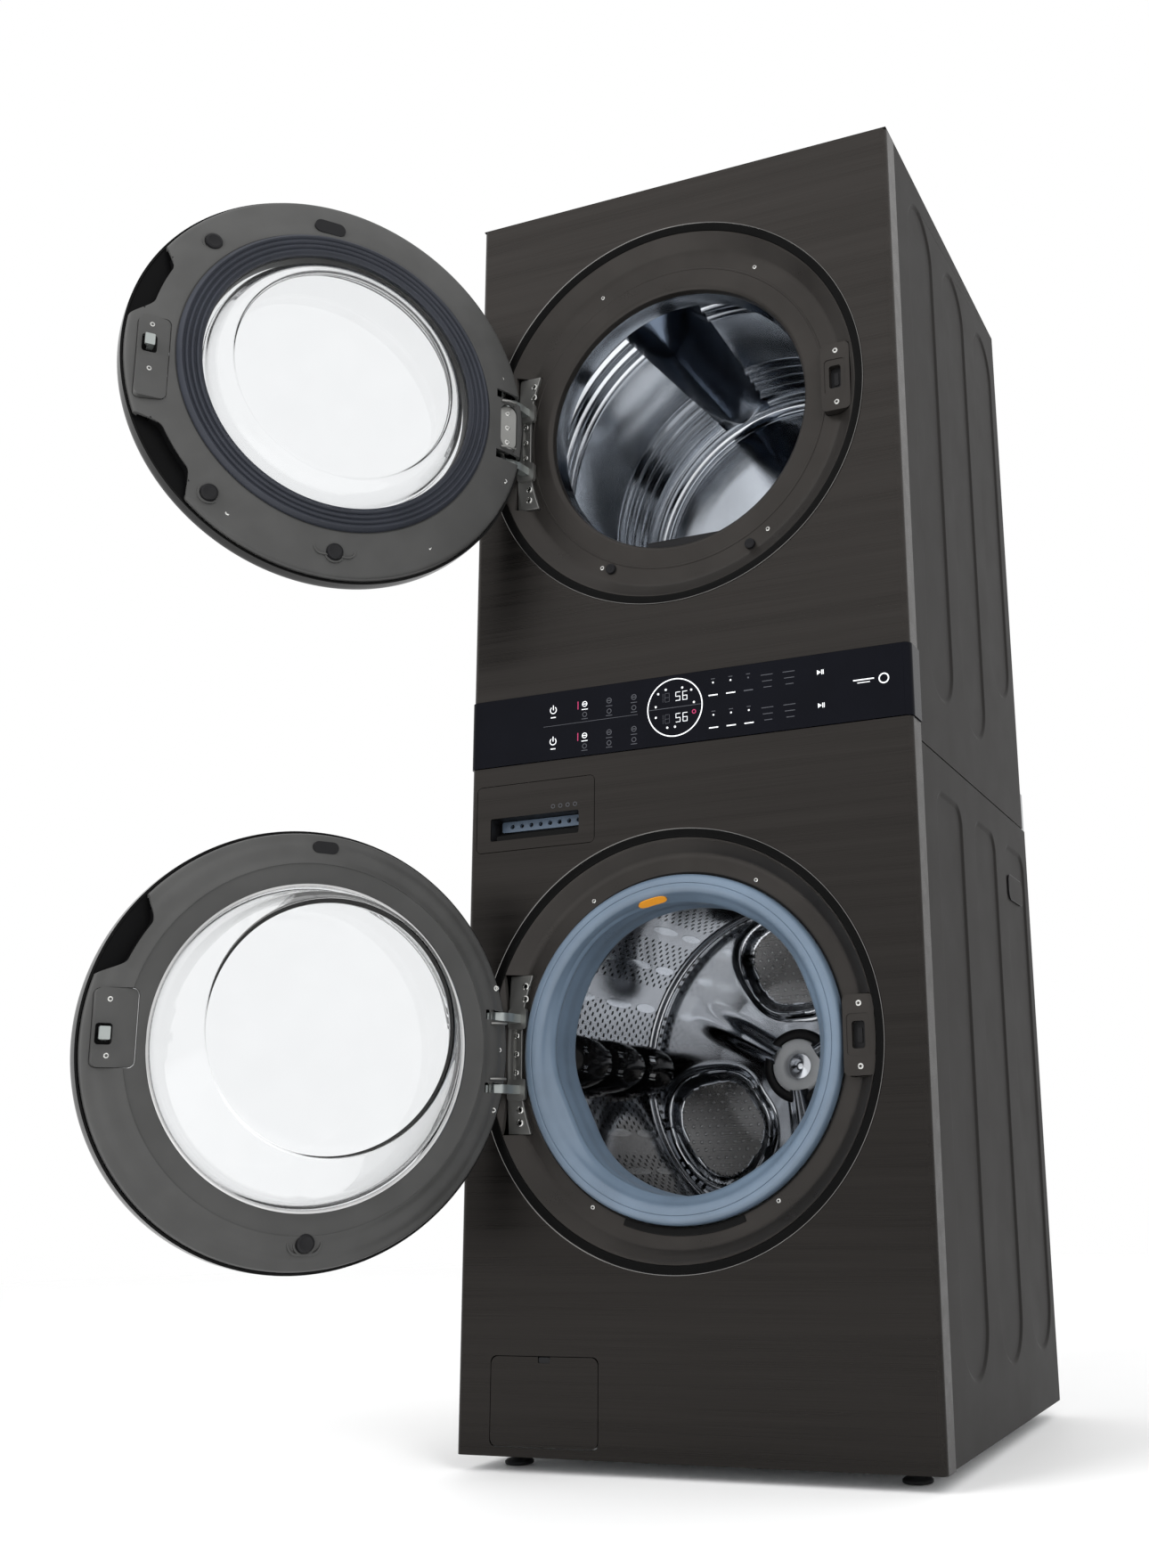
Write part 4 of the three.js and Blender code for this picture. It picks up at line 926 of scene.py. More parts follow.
def washer_arc(radius, start, end, steps=24):
    turns = [math.radians(start + (end - start) * i / steps) for i in range(steps + 1)]
    return [(radius * math.cos(a), radius * math.sin(a)) for a in turns]


slot_rim = softened(plate([washer_arc(252, 250, 292) + washer_arc(243, 292, 250)], depth - 1.6, depth + 1),
                    0.7)
piece("washer_drain_trim", slot_rim, gloss_black, CABINET, port_place["washer"])
piece("washer_dish_screws", dish_screws(251, (62, 122, 238, 304), depth, 3.4), screw_steel, CABINET,
      port_place["washer"])

# %% [markdown]
# ## The hinges
#
# Each door hangs on one die-cast hinge: a waisted plate screwed flat in the dish, with two gooseneck arms
# that swing out through slots in the door to the pin. The plate is an outline with a bevel. An arm is a
# bent strap with a boss at its tip. The arms stay still with the cabinet, and the door turns round their
# tips.

# %% Cast plates and goosenecks
pin_x = (Vector(joints["dryer_door_hinge"]["pos_m"]) - port_place["dryer"].translation).x / MM
pin_y = (Vector(joints["dryer_door_hinge"]["pos_m"]) - port_place["dryer"].translation).y / MM
ARM_AT = 50
EYE = 7.5
for kind, port in ports.items():
    place, depth = port_place[kind], port["depth"]
    base = softened(plate([hinge_outline()], depth - 5.0, depth + 1.5), 1.1, 3)
    web = softened(plate([curved([(-262, -62), (-264, 0), (-262, 62)], 8)
                          + curved([(-250, 62), (-255, 30), (-256, 0), (-255, -30), (-250, -62)], 8)],
                         depth - 9.0, depth - 4.0), 1.2, 2)
    feet = [softened(block(-265, -236, depth - 11, depth - 4, s * ARM_AT - 15, s * ARM_AT + 15, 5), 1.6, 3)
            for s in (-1, 1)]
    piece("hinge_plate_" + kind, joined(base, web, *feet), cast_grey, CABINET, place,
          replaces=["hinge_bracket_" + kind], smooth=40)
    arms = []
    for s in (-1, 1):
        swan = curved([(-250, depth - 5), (-252, 4), (-253, -9), (-257, -21), (-265, -29.5),
                       (pin_x + EYE, pin_y)],
                      8)
        low, high = s * ARM_AT - 6, s * ARM_AT + 6
        arms.append(softened(strip(swan, 12.5, low, high), 1.6, 2, 50))
        eye = lathe([(0, low), (EYE - 1, low), (EYE, low + 1), (EYE, high - 1), (EYE - 1, high), (0, high)],
                    40,
                    closed=False)
        arms.append(moved(moved(eye, turn=90, axis="X"), pin_x, pin_y, 0))
    piece("hinge_arms_" + kind, joined(*arms), cast_pale, CABINET, place, smooth=40)
    heads = [screw(-240 if z > 0 else -246, depth - 5.6, z, 5.4) for z in (-96, -78, 78, 96)]
    heads += [screw(-251, depth - 9.6, z, 4.4) for z in (-26, 0, 26)]
    piece("hinge_screws_" + kind, joined(*heads), screw_steel, CABINET, place)

# %% [markdown]
# ## The doors
#
# A door is a sandwich: a glossy outer ring round a smoked window, a satin inner moulding, and a thick glass
# bowl between them that keeps laundry off the window. We draw each door shut, in its port's frame, and let
# door_place swing it open about its hinge pin. The bowl is a real shell with an inside and an outside,
# because glass that is only a surface would not draw the bright and dark lines at its bends.

# %% Outer rings, windows and bowls
doors = {
    "dryer": dict(radius=296, glass=190, end=163, reach=40, rise=0, grips=[(5, 35), (-50, -18)]),
    "washer": dict(radius=287, glass=207, end=166, reach=78, rise=18, grips=[(14, 43)]),
}
WINDOW = 226
FACE, EDGE, RIM = -64, -44, -22
SEAT_IN = 6


def offset_profile(outside, inside):
    return [tuple(p) for p in outside] + [tuple(p) for p in inside][::-1]


def slots(radius, half=6.9, low=EDGE + 3, high=20):
    """Cutters for the two arms of the hinge."""
    return [plate([[(-radius - 5, s * ARM_AT - half), (pin_x + 24, s * ARM_AT - half),
                    (pin_x + 24, s * ARM_AT + half), (-radius - 5, s * ARM_AT + half)]], low, high)
            for s in (-1, 1)]


door_at = {kind: door_place(kind) for kind in doors}
for kind, door in doors.items():
    R, glass, end, reach, rise = (door[k] for k in ("radius", "glass", "end", "reach", "rise"))
    body, place = kind + "_door", door_at[kind]
    skin = curved([(WINDOW, FACE + 0.6), (WINDOW + 20, FACE + 0.5), (R - 34, FACE + 2), (R - 12, FACE + 8),
                   (R - 3, EDGE - 6), (R - 0.2, EDGE + 2), (R - 0.2, RIM)], 6)
    lining = [(WINDOW, FACE + 4), (R - 35, FACE + 5.5), (R - 14, FACE + 11.5), (R - 3.4, EDGE + 1),
              (R - 3.4, RIM)]
    ring = carved(lathe(offset_profile(skin, lining), 200), *slots(R))
    piece("outer_ring_" + kind, ring, gloss_black, body, place,
          replaces=["outer_cover_" + kind], smooth=30)
    pane = lathe([(0, FACE + 0.2), (WINDOW * 0.6, FACE + 0.3), (WINDOW - 2, FACE + 0.9),
                  (WINDOW - 0.6, FACE + 2),
                  (WINDOW - 1, FACE + 3.6), (WINDOW * 0.6, FACE + 3.4), (0, FACE + 3.3)], 160, closed=False)
    piece("outer_window_" + kind, pane, window_glass, body, place, smooth=60)

    def slanted(radius, depth, angle, reach=reach, rise=rise):
        share = max(0.0, depth - 4) / reach
        lift = rise * share * share * (3 - 2 * share)
        return radius * math.cos(angle), depth, radius * math.sin(angle) + lift

    flank = (end + glass) / 2
    outside = curved([(glass + 3, -18.5), (glass + 3, -15.5), (glass - 0.5, -13), (glass - 3, 4),
                      (flank + 1.5, reach * 0.52), (end + 2, reach - 8), (end - 8, reach - 2.2),
                      (end * 0.8, reach - 0.6),
                      (end * 0.4, reach - 0.1), (0, reach)], 7)
    inside = curved([(glass - 5, -18.5), (glass - 8, 2), (flank - 4.5, reach * 0.48), (end - 4.5, reach - 12),
                     (end - 12, reach - 6.4), (end * 0.76, reach - 4.6), (end * 0.4, reach - 4.1),
                     (0, reach - 4)], 7)
    bowl = lathe(offset_profile(outside, inside), 160, bend=slanted, closed=True)
    piece("bowl_" + kind, bowl, bowl_glass, body, place,
          replaces=["glass_bowl_" + kind], smooth=60)

# %% [markdown]
# ## The inner mouldings
#
# The inner moulding carries everything you notice when a door stands open: the finger grips scooped out of
# its edge, the slots for the hinge's arms, the latch plate with its steel striker, and the bumpers. Its
# surface is a lathe profile with a 3 mm wall. The grips are cutters whose inner edge is a smooth curve, and
# a nearly black cup closes the space behind each: painted shade for the depth of the pocket. A nearly
# black sheet at the bottom of the striker's pocket paints its shade the same way.

# %% Inner moulding with its cut-outs
GRIP_STEPS = 40


def grip_outline(radius, start, end, dip, steps=GRIP_STEPS):
    """A crescent: the rim's own arc outside, and inside a curve that dips towards the middle."""
    outer, inner = [], []
    for i in range(steps + 1):
        share = i / steps
        angle = math.radians(start + (end - start) * share)
        ease = min(1.0, min(share, 1 - share) / 0.3)
        ease = ease * ease * (3 - 2 * ease)
        outer.append(((radius + 8) * math.cos(angle), (radius + 8) * math.sin(angle)))
        depth = radius + 2 - (dip + 2) * ease
        inner.append((depth * math.cos(angle), depth * math.sin(angle)))
    return outer + inner[::-1]


fittings = {
    "dryer": dict(
        plate=(236, 277, -85, 34), striker=(262, -7), plate_screws=[(260, 22), (260, -44)],
        screws=[(-122, 207), (165, 195), (-145, -222), (143, -228), (-252, 77), (-230, 77), (-262, -90),
                (-240, -90)],
        bumpers=[(187, 173, 12), (170, -205, 12), (-5, -258, 12)], plugs=[(25, 245, 45, 20)],
        dimple=(-5, -252, 62, 26)),
    "washer": dict(
        plate=(222, 272, -34, 62), striker=(260, 6), plate_screws=[(255, 48), (255, -20)],
        screws=[(-263, 88), (-242, 88), (-268, 2), (-262, -80), (-242, -80)],
        bumpers=[(0, -247, 12)], plugs=[(-5, 262, 35, 16)], dimple=(0, -247, 46, 30)),
}


def lozenge(x, z, width, height, grow=0.0):
    return rounded(x - width / 2 - grow, x + width / 2 + grow, z - height / 2 - grow, z + height / 2 + grow,
                   min(width, height) / 2 + grow - 0.1, 10)


for kind, door in doors.items():
    R, glass = door["radius"], door["glass"]
    body, place, fit = kind + "_door", door_at[kind], fittings[kind]
    seat = glass + 4
    shoulder = min(seat + 34, 236)
    crown = curved([(seat, -13), (seat, 3.5), (seat + 2.5, SEAT_IN), (shoulder, SEAT_IN),
                    (shoulder + 3, SEAT_IN + 1.2),
                    (latch_reach - 14, 2.6), (latch_reach, -1.2), (R - 16, -6.8), (R - 7, -10.5),
                    (R - 4.6, -16),
                    (R - 4.4, RIM + 0.4)], 6)
    under = [(R - 8, RIM + 0.4), (R - 8, -16), (R - 17, -10.6), (latch_reach, -5), (shoulder, 1.5),
             (seat + 4, 1.5),
             (seat + 4, -13)]
    shell = lathe(offset_profile(crown, under[::-1]), 200)
    cutters = slots(R)
    for start, end in door["grips"]:
        cutters.append(plate([grip_outline(R, start, end, 31)], RIM - 2, 25))
    x0, x1, z0, z1 = fit["plate"]
    cutters.append(block(x0 - 0.7, x1 + 0.7, -30, 30, z0 - 0.7, z1 + 0.7, 9))
    if kind == "dryer":
        cutters.append(plate([lozenge(-265, 0, 30, 74)], RIM, 30))
    shell = carved(shell, *cutters)
    piece("inner_moulding_" + kind, shell, door_satin, body, place,
          replaces=["inner_frame_" + kind], smooth=26)

    # The cups are nearly black: painted shade for the depth of the grip pockets.
    cups = []
    for start, end in door["grips"]:
        cups.append(plate([grip_outline(R - 12, start + 1, end - 1, 22)], RIM - 3, RIM - 1))
        edge = grip_outline(R - 3.6, start, end, 28)[GRIP_STEPS + 1:]
        edge = [point for point in edge if math.hypot(*point) < R - 18]
        cups.append(strip(edge, 1.6, -21, -5, "y"))
    piece("grip_cups_" + kind, joined(*cups), painted_pocket_shade, body, place)

    slab = softened(block(x0, x1, -14, 3.2, z0, z1, 8), 1.4, 3)
    sx, sz = fit["striker"]
    slab = carved(slab, block(sx - 10, sx + 10, -4, 10, sz - 13, sz + 13, 4))
    piece("striker_plate_" + kind, slab, door_satin, body, place, smooth=24)
    # A nearly black sheet at the bottom of the striker's pocket: painted shade.
    well = block(sx - 9.6, sx + 9.6, -5, -3.4, sz - 12.6, sz + 12.6, 3.6)
    piece("striker_well_" + kind, well, painted_pocket_shade, body, place)
    hook = joined(softened(block(sx - 5, sx + 3, -3.6, 13.5, sz - 8, sz + 8, 1.5), 0.7),
                  softened(block(sx - 5, sx + 8, 12.5, 16.3, sz - 8, sz + 8, 1.5), 0.9))
    piece("striker_" + kind, hook, cast_pale, body, place)
    heads = [screw(x, 2.4, z, 4.0, 1) for x, z in fit["plate_screws"]]

    def surface(x, z, R=R):
        """How far in the moulding's surface is at a point: flat, then falling to the rim."""
        r = math.hypot(x, z)
        return max(-8.0, min(SEAT_IN, SEAT_IN - (r - shoulder) * (SEAT_IN + 7) / (R - 16 - shoulder)))

    heads += [screw(x, surface(x, z) - 0.4, z, 4.2, 1) for x, z in fit["screws"]]
    piece("door_screws_" + kind, joined(*heads), screw_steel, body, place)
    buttons = []
    for x, z, radius in fit["bumpers"]:
        button = lathe([(0, 6), (radius * 0.5, 6.4), (radius * 0.72, 7.2), (radius * 0.94, 6), (radius, 3),
                        (radius, -2), (0, -2)], 40, closed=False)
        buttons.append(moved(button, x, surface(x, z), z))
    for x, z, width, height in fit["plugs"]:
        y = surface(x, z)
        buttons.append(softened(plate([lozenge(x, z, width, height)], y - 2, y + 5.5), 1.8, 3))
    piece("door_bumpers_" + kind, joined(*buttons), black_plastic, body, place)
    x, z, width, height = fit["dimple"]
    rims = [softened(plate([lozenge(x, z, width, height), lozenge(x, z, width, height, -3)],
                           surface(x, z) - 3, surface(x, z) + 1.6), 0.9, 2)]
    for bx, bz, radius in fit["bumpers"]:
        y = surface(bx, bz)
        rims.append(softened(plate([circle(bx, bz, radius + 3.5, 40), circle(bx, bz, radius + 0.4, 40)],
                                   y - 3, y + 1.4), 0.7, 2))
    piece("bumper_seats_" + kind, joined(*rims), door_satin, body, place)

    core = softened(block(pin_x - 9, pin_x + 26, pin_y - 8, RIM - 1, -36, 36, 4), 1.2, 2)
    rod = moved(lathe([(0, -72), (3.1, -72), (3.5, -71), (3.5, 71), (3.1, 72), (0, 72)], 32, closed=False),
                turn=90, axis="X")
    loops = [pipe([(pin_x - 7, -4, s * 38), (pin_x - 7, 3, s * 38), (pin_x + 6, 6, s * 38),
                   (pin_x + 16, 3, s * 38)],
                  1.6) for s in (-1, 1)]
    piece("hinge_core_" + kind, joined(core, moved(rod, pin_x, pin_y, 0), *loops), cast_grey, body, place,
          replaces=["hinge_pin_" + kind])
    if kind == "dryer":
        boss = softened(plate([lozenge(-265, 0, 28, 72)], -13, -8), 1.2, 2)
        dots = [screw(-265, -8.4, z, 4.4, 1) for z in (-24, 0, 24)]
        piece("hinge_boss_dryer", boss, cast_grey, body, place)
        piece("hinge_boss_screws_dryer", joined(*dots), screw_steel, body, place)

# %% [markdown]
# ## Seals on the doors
#
# The dryer's door has a wide rubber band with four soft ridges that press on the port's dish. The washer's
# bowl is its own sealing face, so its door has only a thin polished ring where glass meets moulding.

# %% Ridged seal and polished ring
ridges = [(194.5, 6.3), (194.5, 13)]
for start in (197, 204.5, 212, 219.5):
    ridges += [(start, 13.6), (start + 1.5, 16.4), (start + 3.4, 17.4), (start + 5.2, 16.2),
               (start + 6.4, 13.4)]
ridges += [(227.5, 12), (228, 9), (228, 6.3)]
piece("dryer_door_seal", lathe(ridges, 200), slate_rubber, "dryer_door", door_at["dryer"],
      replaces=["door_seal_dryer"], smooth=50)
ring = lathe([(206, 3.5), (206.4, 6.6), (208, 7.6), (210.4, 7.4), (211.6, 6.2), (211.6, 3.5)], 200)
piece("washer_door_bright_ring", ring, bright_ring, "washer_door", door_at["washer"],
      smooth=50)

# %% [markdown]
# ## Steel that is seen from inside a drum
#
# Drum steel is bright, but the inside of a drum looks dark in places, because it mostly reflects itself. A
# low roughness gives that contrast. The washing drum's holes are not modelled: there are thousands of them.
# The material finds the distance to the nearest point of a hexagonal grid, wrapped round the wall, darkens
# a small disc there to near black, a painted shade for the open hole, and dents it with a bump. Where the
# dots are raised instead, as on the petal floors, it lightens them: a painted highlight on each dot.

# %% Drum finishes
def drum_finish(name, colour, roughness, wrap, pitch=0.0, hole=0.0, patches=0.0, raised=False):
    """Bright steel with fine rings. wrap is the radius it is wrapped round, or 0 for a flat disc."""
    finish = Finish(name, colour, roughness, 1.0, Anisotropic=0.3)
    x, y, z = finish.where()
    if wrap:
        run, across = finish.maths("ARCTAN2", z, x) * wrap, y
    else:
        run, across = x, z
    fine = finish.noise(finish.point(run * 0.012, across * 0.7, 0.0), 1.0, 3.0)
    cloud = finish.noise(finish.point(x, y, z), 0.014, 2.0)
    shade = finish.mix(cloud * 0.6 + fine * 0.4, [c * 0.8 for c in colour], [min(1, c * 1.2) for c in colour])
    height = fine * 0.02
    finish.rough(cloud * 0.1 + fine * 0.05 + (roughness - 0.07))
    if pitch:
        def grid(shift):
            a = finish.maths("FRACT", run / pitch + shift) - 0.5
            b = finish.maths("FRACT", across / (pitch * 1.732) + shift) - 0.5
            return finish.maths("SQRT", a * a * (pitch * pitch) + b * b * (pitch * pitch * 3.0))

        spot = 1 - finish.smooth(finish.maths("MINIMUM", grid(0.0), grid(0.5)), hole * 0.7, hole * 1.15)
        if patches:
            where = finish.maths("FRACT", run / patches)
            spot = spot * finish.smooth(finish.maths("ABSOLUTE", where - 0.5), 0.36, 0.32)
        # Raised dots are lightened towards 0.62 grey: a painted highlight on each dot.
        if raised:
            shade = finish.mix(spot * 0.6, shade, (0.62, 0.62, 0.62))
            height = height + spot * 1.6
        # Holes are darkened to near black: a painted shade for the open hole and what lies behind it.
        else:
            shade = finish.mix(spot, shade, (0.004, 0.004, 0.005))
            height = height - spot
    finish.colour(shade)
    finish.bump(height, 0.7, 0.0016)
    return finish.material


# The wall and the lifter strips carry painted dark holes; the petal floor carries painted light dots.
wash_wall_steel = drum_finish("washing_drum_wall_steel", (0.36, 0.37, 0.39), 0.12, 269, 15.0, 3.1, 120.0)
petal_steel = drum_finish("petal_floor_steel", (0.30, 0.295, 0.29), 0.26, 0, 15.0, 2.6, 0.0, True)
bright_steel = drum_finish("bright_drum_steel", (0.52, 0.54, 0.57), 0.14, 0)
dryer_steel = drum_finish("dryer_drum_steel", (0.66, 0.685, 0.72), 0.12, 303)
baffle_steel = drum_finish("baffle_steel", (0.12, 0.15, 0.20), 0.22, 0)
strip_steel = drum_finish("lifter_strip_steel", (0.6, 0.61, 0.63), 0.16, 0, 9.0, 2.2, 0.0, False)
print("drum finishes ready")

# %% [markdown]
# ## The washer's bellows
#
# A pale rubber bellows joins the cabinet to the tub. Its front band is broad and smooth, with one fine
# groove, and behind that it folds back to the tub. The inner lip isn't a true circle: it bulges where the
# recirculation jets and the drain are. We turn the profile on the lathe and let a bend function push the
# lip in at a few angles.

# %% Bellows and its tag
def lobes(angle):
    bulges = ((205, 17, 9), (128, 26, -7), (20, 14, 4), (62, 12, 2), (300, 20, 5))
    turn = math.degrees(angle) % 360
    return sum(push * math.exp(-(min(abs(turn - centre), 360 - abs(turn - centre)) / wide) ** 2)
               for centre, wide, push in bulges)


def bellows_bend(radius, depth, angle):
    weight = max(0.0, min(1.0, (218 - radius) / 14)) * max(0.0, min(1.0, (depth - 14) / 14))
    r = radius - weight * lobes(angle)
    return r * math.cos(angle), depth, r * math.sin(angle)


throat = curved([(239.4, 26), (238, 15), (233, 10), (226.5, 9.2), (225.3, 10.4), (224.1, 9.3), (218, 10.4),
                 (213, 14), (209, 21), (204, 29), (201, 36), (204, 44), (212, 50), (209, 58), (206, 68),
                 (205, 82),
                 (202, 96), (203.4, 99)], 5)
outside = curved([(210, 98), (214, 84), (216, 70), (219, 57), (220, 46), (229, 42), (236, 34)], 4)
shape = lathe(throat + outside, 180, bend=bellows_bend)
piece("washer_bellows", shape, bellows_rubber, CABINET, port_place["washer"],
      replaces=["door_gasket"], smooth=60)


def on_throat(angle, share):
    """A point on the sloping roof of the bellows, from its front edge at 0 to its lip at 1."""
    turn = math.radians(angle)
    radius, depth = 211.5 - 7.4 * share, 15.2 + 13.0 * share
    return (radius * math.cos(turn), depth, radius * math.sin(turn))


tag_points, tag_faces = [], []
for i in range(21):
    half = 0.46 * math.sqrt(max(0.0, 1 - ((i - 10) / 10.2) ** 4))
    for share in (0.5 - half, 0.5 + half):
        tag_points.append(on_throat(101 + 12.0 * (i - 10) / 20, share))
for i in range(20):
    tag_faces.append((2 * i, 2 * i + 1, 2 * i + 3, 2 * i + 2))
tag = as_object(new_shape(tag_points, tag_faces), "work")
thick = tag.modifiers.new("thick", "SOLIDIFY")
thick.thickness, thick.offset = 1.6, 0
piece("plain_tag", settled(tag), blank_orange, CABINET, port_place["washer"], smooth=50)

# %% [markdown]
# ## The washing drum
#
# The drum is a perforated wall, a front lip, a pressed back with three petals, three black lifters and a
# hub cap. The pressed back is a height map in polar coordinates: for each point we ask how far it is from
# the outline of the nearest petal, raise a round ridge along that outline, and sink the floor inside it a
# little.

# %% Wall and front lip
DRUM = dict(radius=272, mouth=214, front=108, back=530)
inner_r = DRUM["radius"] - 3
wall = curved([(DRUM["mouth"], 113), (DRUM["mouth"] + 2, 109.5), (DRUM["mouth"] + 8, 110), (250, 119),
               (262, 128),
               (inner_r - 1, 142)], 5)
wall += [(inner_r, 160), (inner_r, 480)]
wall += curved([(inner_r, 486), (inner_r - 4, 489), (inner_r - 4, 492), (inner_r, 495), (inner_r, 501),
                (inner_r - 4, 504), (inner_r - 4, 507), (inner_r, 510)], 4)
wall += [(inner_r, DRUM["back"] - 6)]
shell = [(DRUM["radius"], DRUM["back"] - 6), (DRUM["radius"], 130), (264, 119), (250, 112), (226, 107.6),
         (214, 108)]
drum_place = port_place["washer"]
piece("washing_drum_wall", lathe(wall + shell, 200), wash_wall_steel, "washer_drum", drum_place,
      replaces=["washer_drum"], smooth=40)

# %% Pressed back
PETALS = (92, 212, 332)


def petal_distance(radius, degrees):
    """0 at a petal's middle and 1 on its outline. The petal is wider near the wall."""
    best = 9.0
    for centre in PETALS:
        off = (degrees - centre + 180) % 360 - 180
        a = (radius - 172) / 84
        b = off / (31 - 0.035 * (radius - 172))
        best = min(best, (abs(a) ** 2.8 + abs(b) ** 2.8) ** (1 / 2.8))
    return best


def pressed_height(radius, degrees):
    d = petal_distance(radius, degrees)
    ridge = 13 * math.exp(-((d - 1.0) / 0.085) ** 2)
    sunk = -3 if d < 0.86 else 0
    spoke = 0.0
    for centre in PETALS:
        off = (degrees - centre - 60 + 180) % 360 - 180
        width = 9 + 6 * (radius - 60) / 200
        spoke += 16 * math.exp(-(abs(off) * math.radians(1) * radius / width / 1.6) ** 2.4) * \
            max(0.0, min(1.0, (225 - radius) / 110))
    cone = 26 * max(0.0, (150 - radius) / 110) ** 1.5 if radius < 150 else 0
    return ridge + sunk + spoke + cone


def height_disc(inside_r, outside_r, rings, turns, base, height, keep=None):
    points, faces = [], []
    for i in range(rings + 1):
        radius = inside_r + (outside_r - inside_r) * i / rings
        for j in range(turns):
            degrees = 360 * j / turns
            angle = math.radians(degrees)
            points.append((radius * math.cos(angle), base - height(radius, degrees),
                           radius * math.sin(angle)))
    for i in range(rings):
        for j in range(turns):
            k = (j + 1) % turns
            radius, degrees = inside_r + (outside_r - inside_r) * (i + 0.5) / rings, 360 * (j + 0.5) / turns
            if keep is None or keep(radius, degrees):
                faces.append((i * turns + j, (i + 1) * turns + j, (i + 1) * turns + k, i * turns + k))
    shape = new_shape(points, faces)
    loose = [v for v in shape.verts if not v.link_faces]
    bmesh.ops.delete(shape, geom=loose, context="VERTS")
    thing = as_object(shape, "work")
    sheet = thing.modifiers.new("sheet", "SOLIDIFY")
    sheet.thickness, sheet.offset = 1.5, 0
    return settled(thing)


back = DRUM["back"] - 7
piece("washing_drum_back", height_disc(40, inner_r - 0.4, 76, 288, back, pressed_height,
                                       lambda r, a: petal_distance(r, a) > 0.8),
      bright_steel, "washer_drum", drum_place, smooth=60)
piece("washing_drum_petals", height_disc(60, inner_r - 0.4, 60, 288, back, pressed_height,
                                         lambda r, a: petal_distance(r, a) <= 0.8),
      petal_steel, "washer_drum", drum_place, smooth=60)

# %% Hub, lifters and spider
hub = lathe(curved([(61, back - 15), (60, back - 26), (54, back - 30), (46, back - 29), (45, back - 24)], 5)
            + [(40, back - 8), (61, back - 8)], 96)
piece("drum_hub_ring", hub, black_plastic, "washer_drum", drum_place, smooth=50)
cap = lathe(curved([(44.6, back - 22), (43.5, back - 28.5), (38, back - 31.5), (26, back - 31),
                    (21.5, back - 27),
                    (20.5, back - 22)], 5) + [(20.5, back - 18), (44.6, back - 18)], 96)
piece("drum_hub_cap", cap, hub_white, "washer_drum", drum_place, smooth=50)
core = lathe([(0, back - 26.5), (8, back - 26), (12, back - 23.4), (20.2, back - 22.6), (20.2, back - 8),
              (0, back - 8)], 64, closed=False)
piece("drum_hub_core", core, bright_steel, "washer_drum", drum_place, smooth=40)


def loft(sections):
    """Joins closed sections of equal length, and caps both ends."""
    count = len(sections[0])
    points = [p for section in sections for p in section]
    faces = []
    for i in range(len(sections) - 1):
        for j in range(count):
            k = (j + 1) % count
            faces.append((i * count + j, i * count + k, (i + 1) * count + k, (i + 1) * count + j))
    faces += [tuple(range(count))[::-1], tuple(range(len(points) - count, len(points)))]
    shape = new_shape(points, faces)
    bmesh.ops.recalc_face_normals(shape, faces=shape.faces)
    return shape


def lifter(start, end, foot, base_width, rise, segments):
    """A round-topped bar with bulging segments, standing on the wall with its crest towards the axis."""
    sections = []
    steps = 48
    for i in range(steps + 1):
        share = i / steps
        pulse = abs(math.sin(math.pi * segments * share)) ** 0.5
        close = min(1.0, min(share, 1 - share) / 0.05) ** 0.5
        width = base_width * (0.66 + 0.34 * pulse) * (0.5 + 0.5 * close)
        high = rise * (0.84 + 0.16 * pulse) * (0.45 + 0.55 * close)
        ring = []
        for j in range(17):
            turn = math.pi * j / 16
            ring.append((foot - high * math.sin(turn) ** 0.8, start + (end - start) * share,
                         width * math.cos(turn)))
        sections.append(ring)
    return loft(sections)


LIFTER_ANGLES = (180, 60, -60)
bars, strips = [], []
for angle in LIFTER_ANGLES:
    lifter_bar = lifter(132, 490, inner_r - 0.4, 42, 60, 3)
    bmesh.ops.transform(lifter_bar, matrix=Matrix.Rotation(math.radians(-angle), 4, "Y"),
                        verts=lifter_bar.verts)
    bars.append(lifter_bar)
    for segment in range(3):
        for offset in (-13, 13):
            centre = 136 + 342 * (segment + 0.5) / 3
            one = softened(plate([rounded(centre - 44, centre + 44, offset - 6.5, offset + 6.5, 5)],
                                 -2.2, 1.2, "x"), 0.8, 2)
            spin = Matrix.Rotation(math.radians(offset * 1.7), 4, "Y")
            bmesh.ops.transform(one, matrix=Matrix.Translation((inner_r - 58.5, 0, 0)) @ spin,
                                verts=one.verts)
            bmesh.ops.transform(one, matrix=Matrix.Rotation(math.radians(-angle), 4, "Y"), verts=one.verts)
            strips.append(one)
piece("drum_lifters", joined(*bars), gloss_black, "washer_drum", drum_place, smooth=50)
piece("lifter_strips", joined(*strips), strip_steel, "washer_drum", drum_place, smooth=40)
ribs = []
for number in range(24):
    angle = 15 * number + 7.5
    if min(abs((angle - a + 180) % 360 - 180) for a in LIFTER_ANGLES) < 12:
        continue
    for y0, y1 in ((160, 250), (290, 380), (400, 470)):
        bead = lathe([(0, -7), (4.2, -6), (6.2, -2), (7, 1.2), (0, 1.2)], 20, closed=False)
        bmesh.ops.scale(bead, vec=(1, 0.36, (y1 - y0) / 14), verts=bead.verts)
        matrix = Matrix.Rotation(math.radians(-angle), 4,
                                 "Y") @ Matrix.Translation((inner_r, (y0 + y1) / 2, 0)) \
            @ Matrix.Rotation(math.radians(90), 4, "X") @ Matrix.Rotation(math.radians(90), 4, "Z")
        bmesh.ops.transform(bead, matrix=matrix, verts=bead.verts)
        bmesh.ops.recalc_face_normals(bead, faces=bead.faces)
        ribs.append(bead)
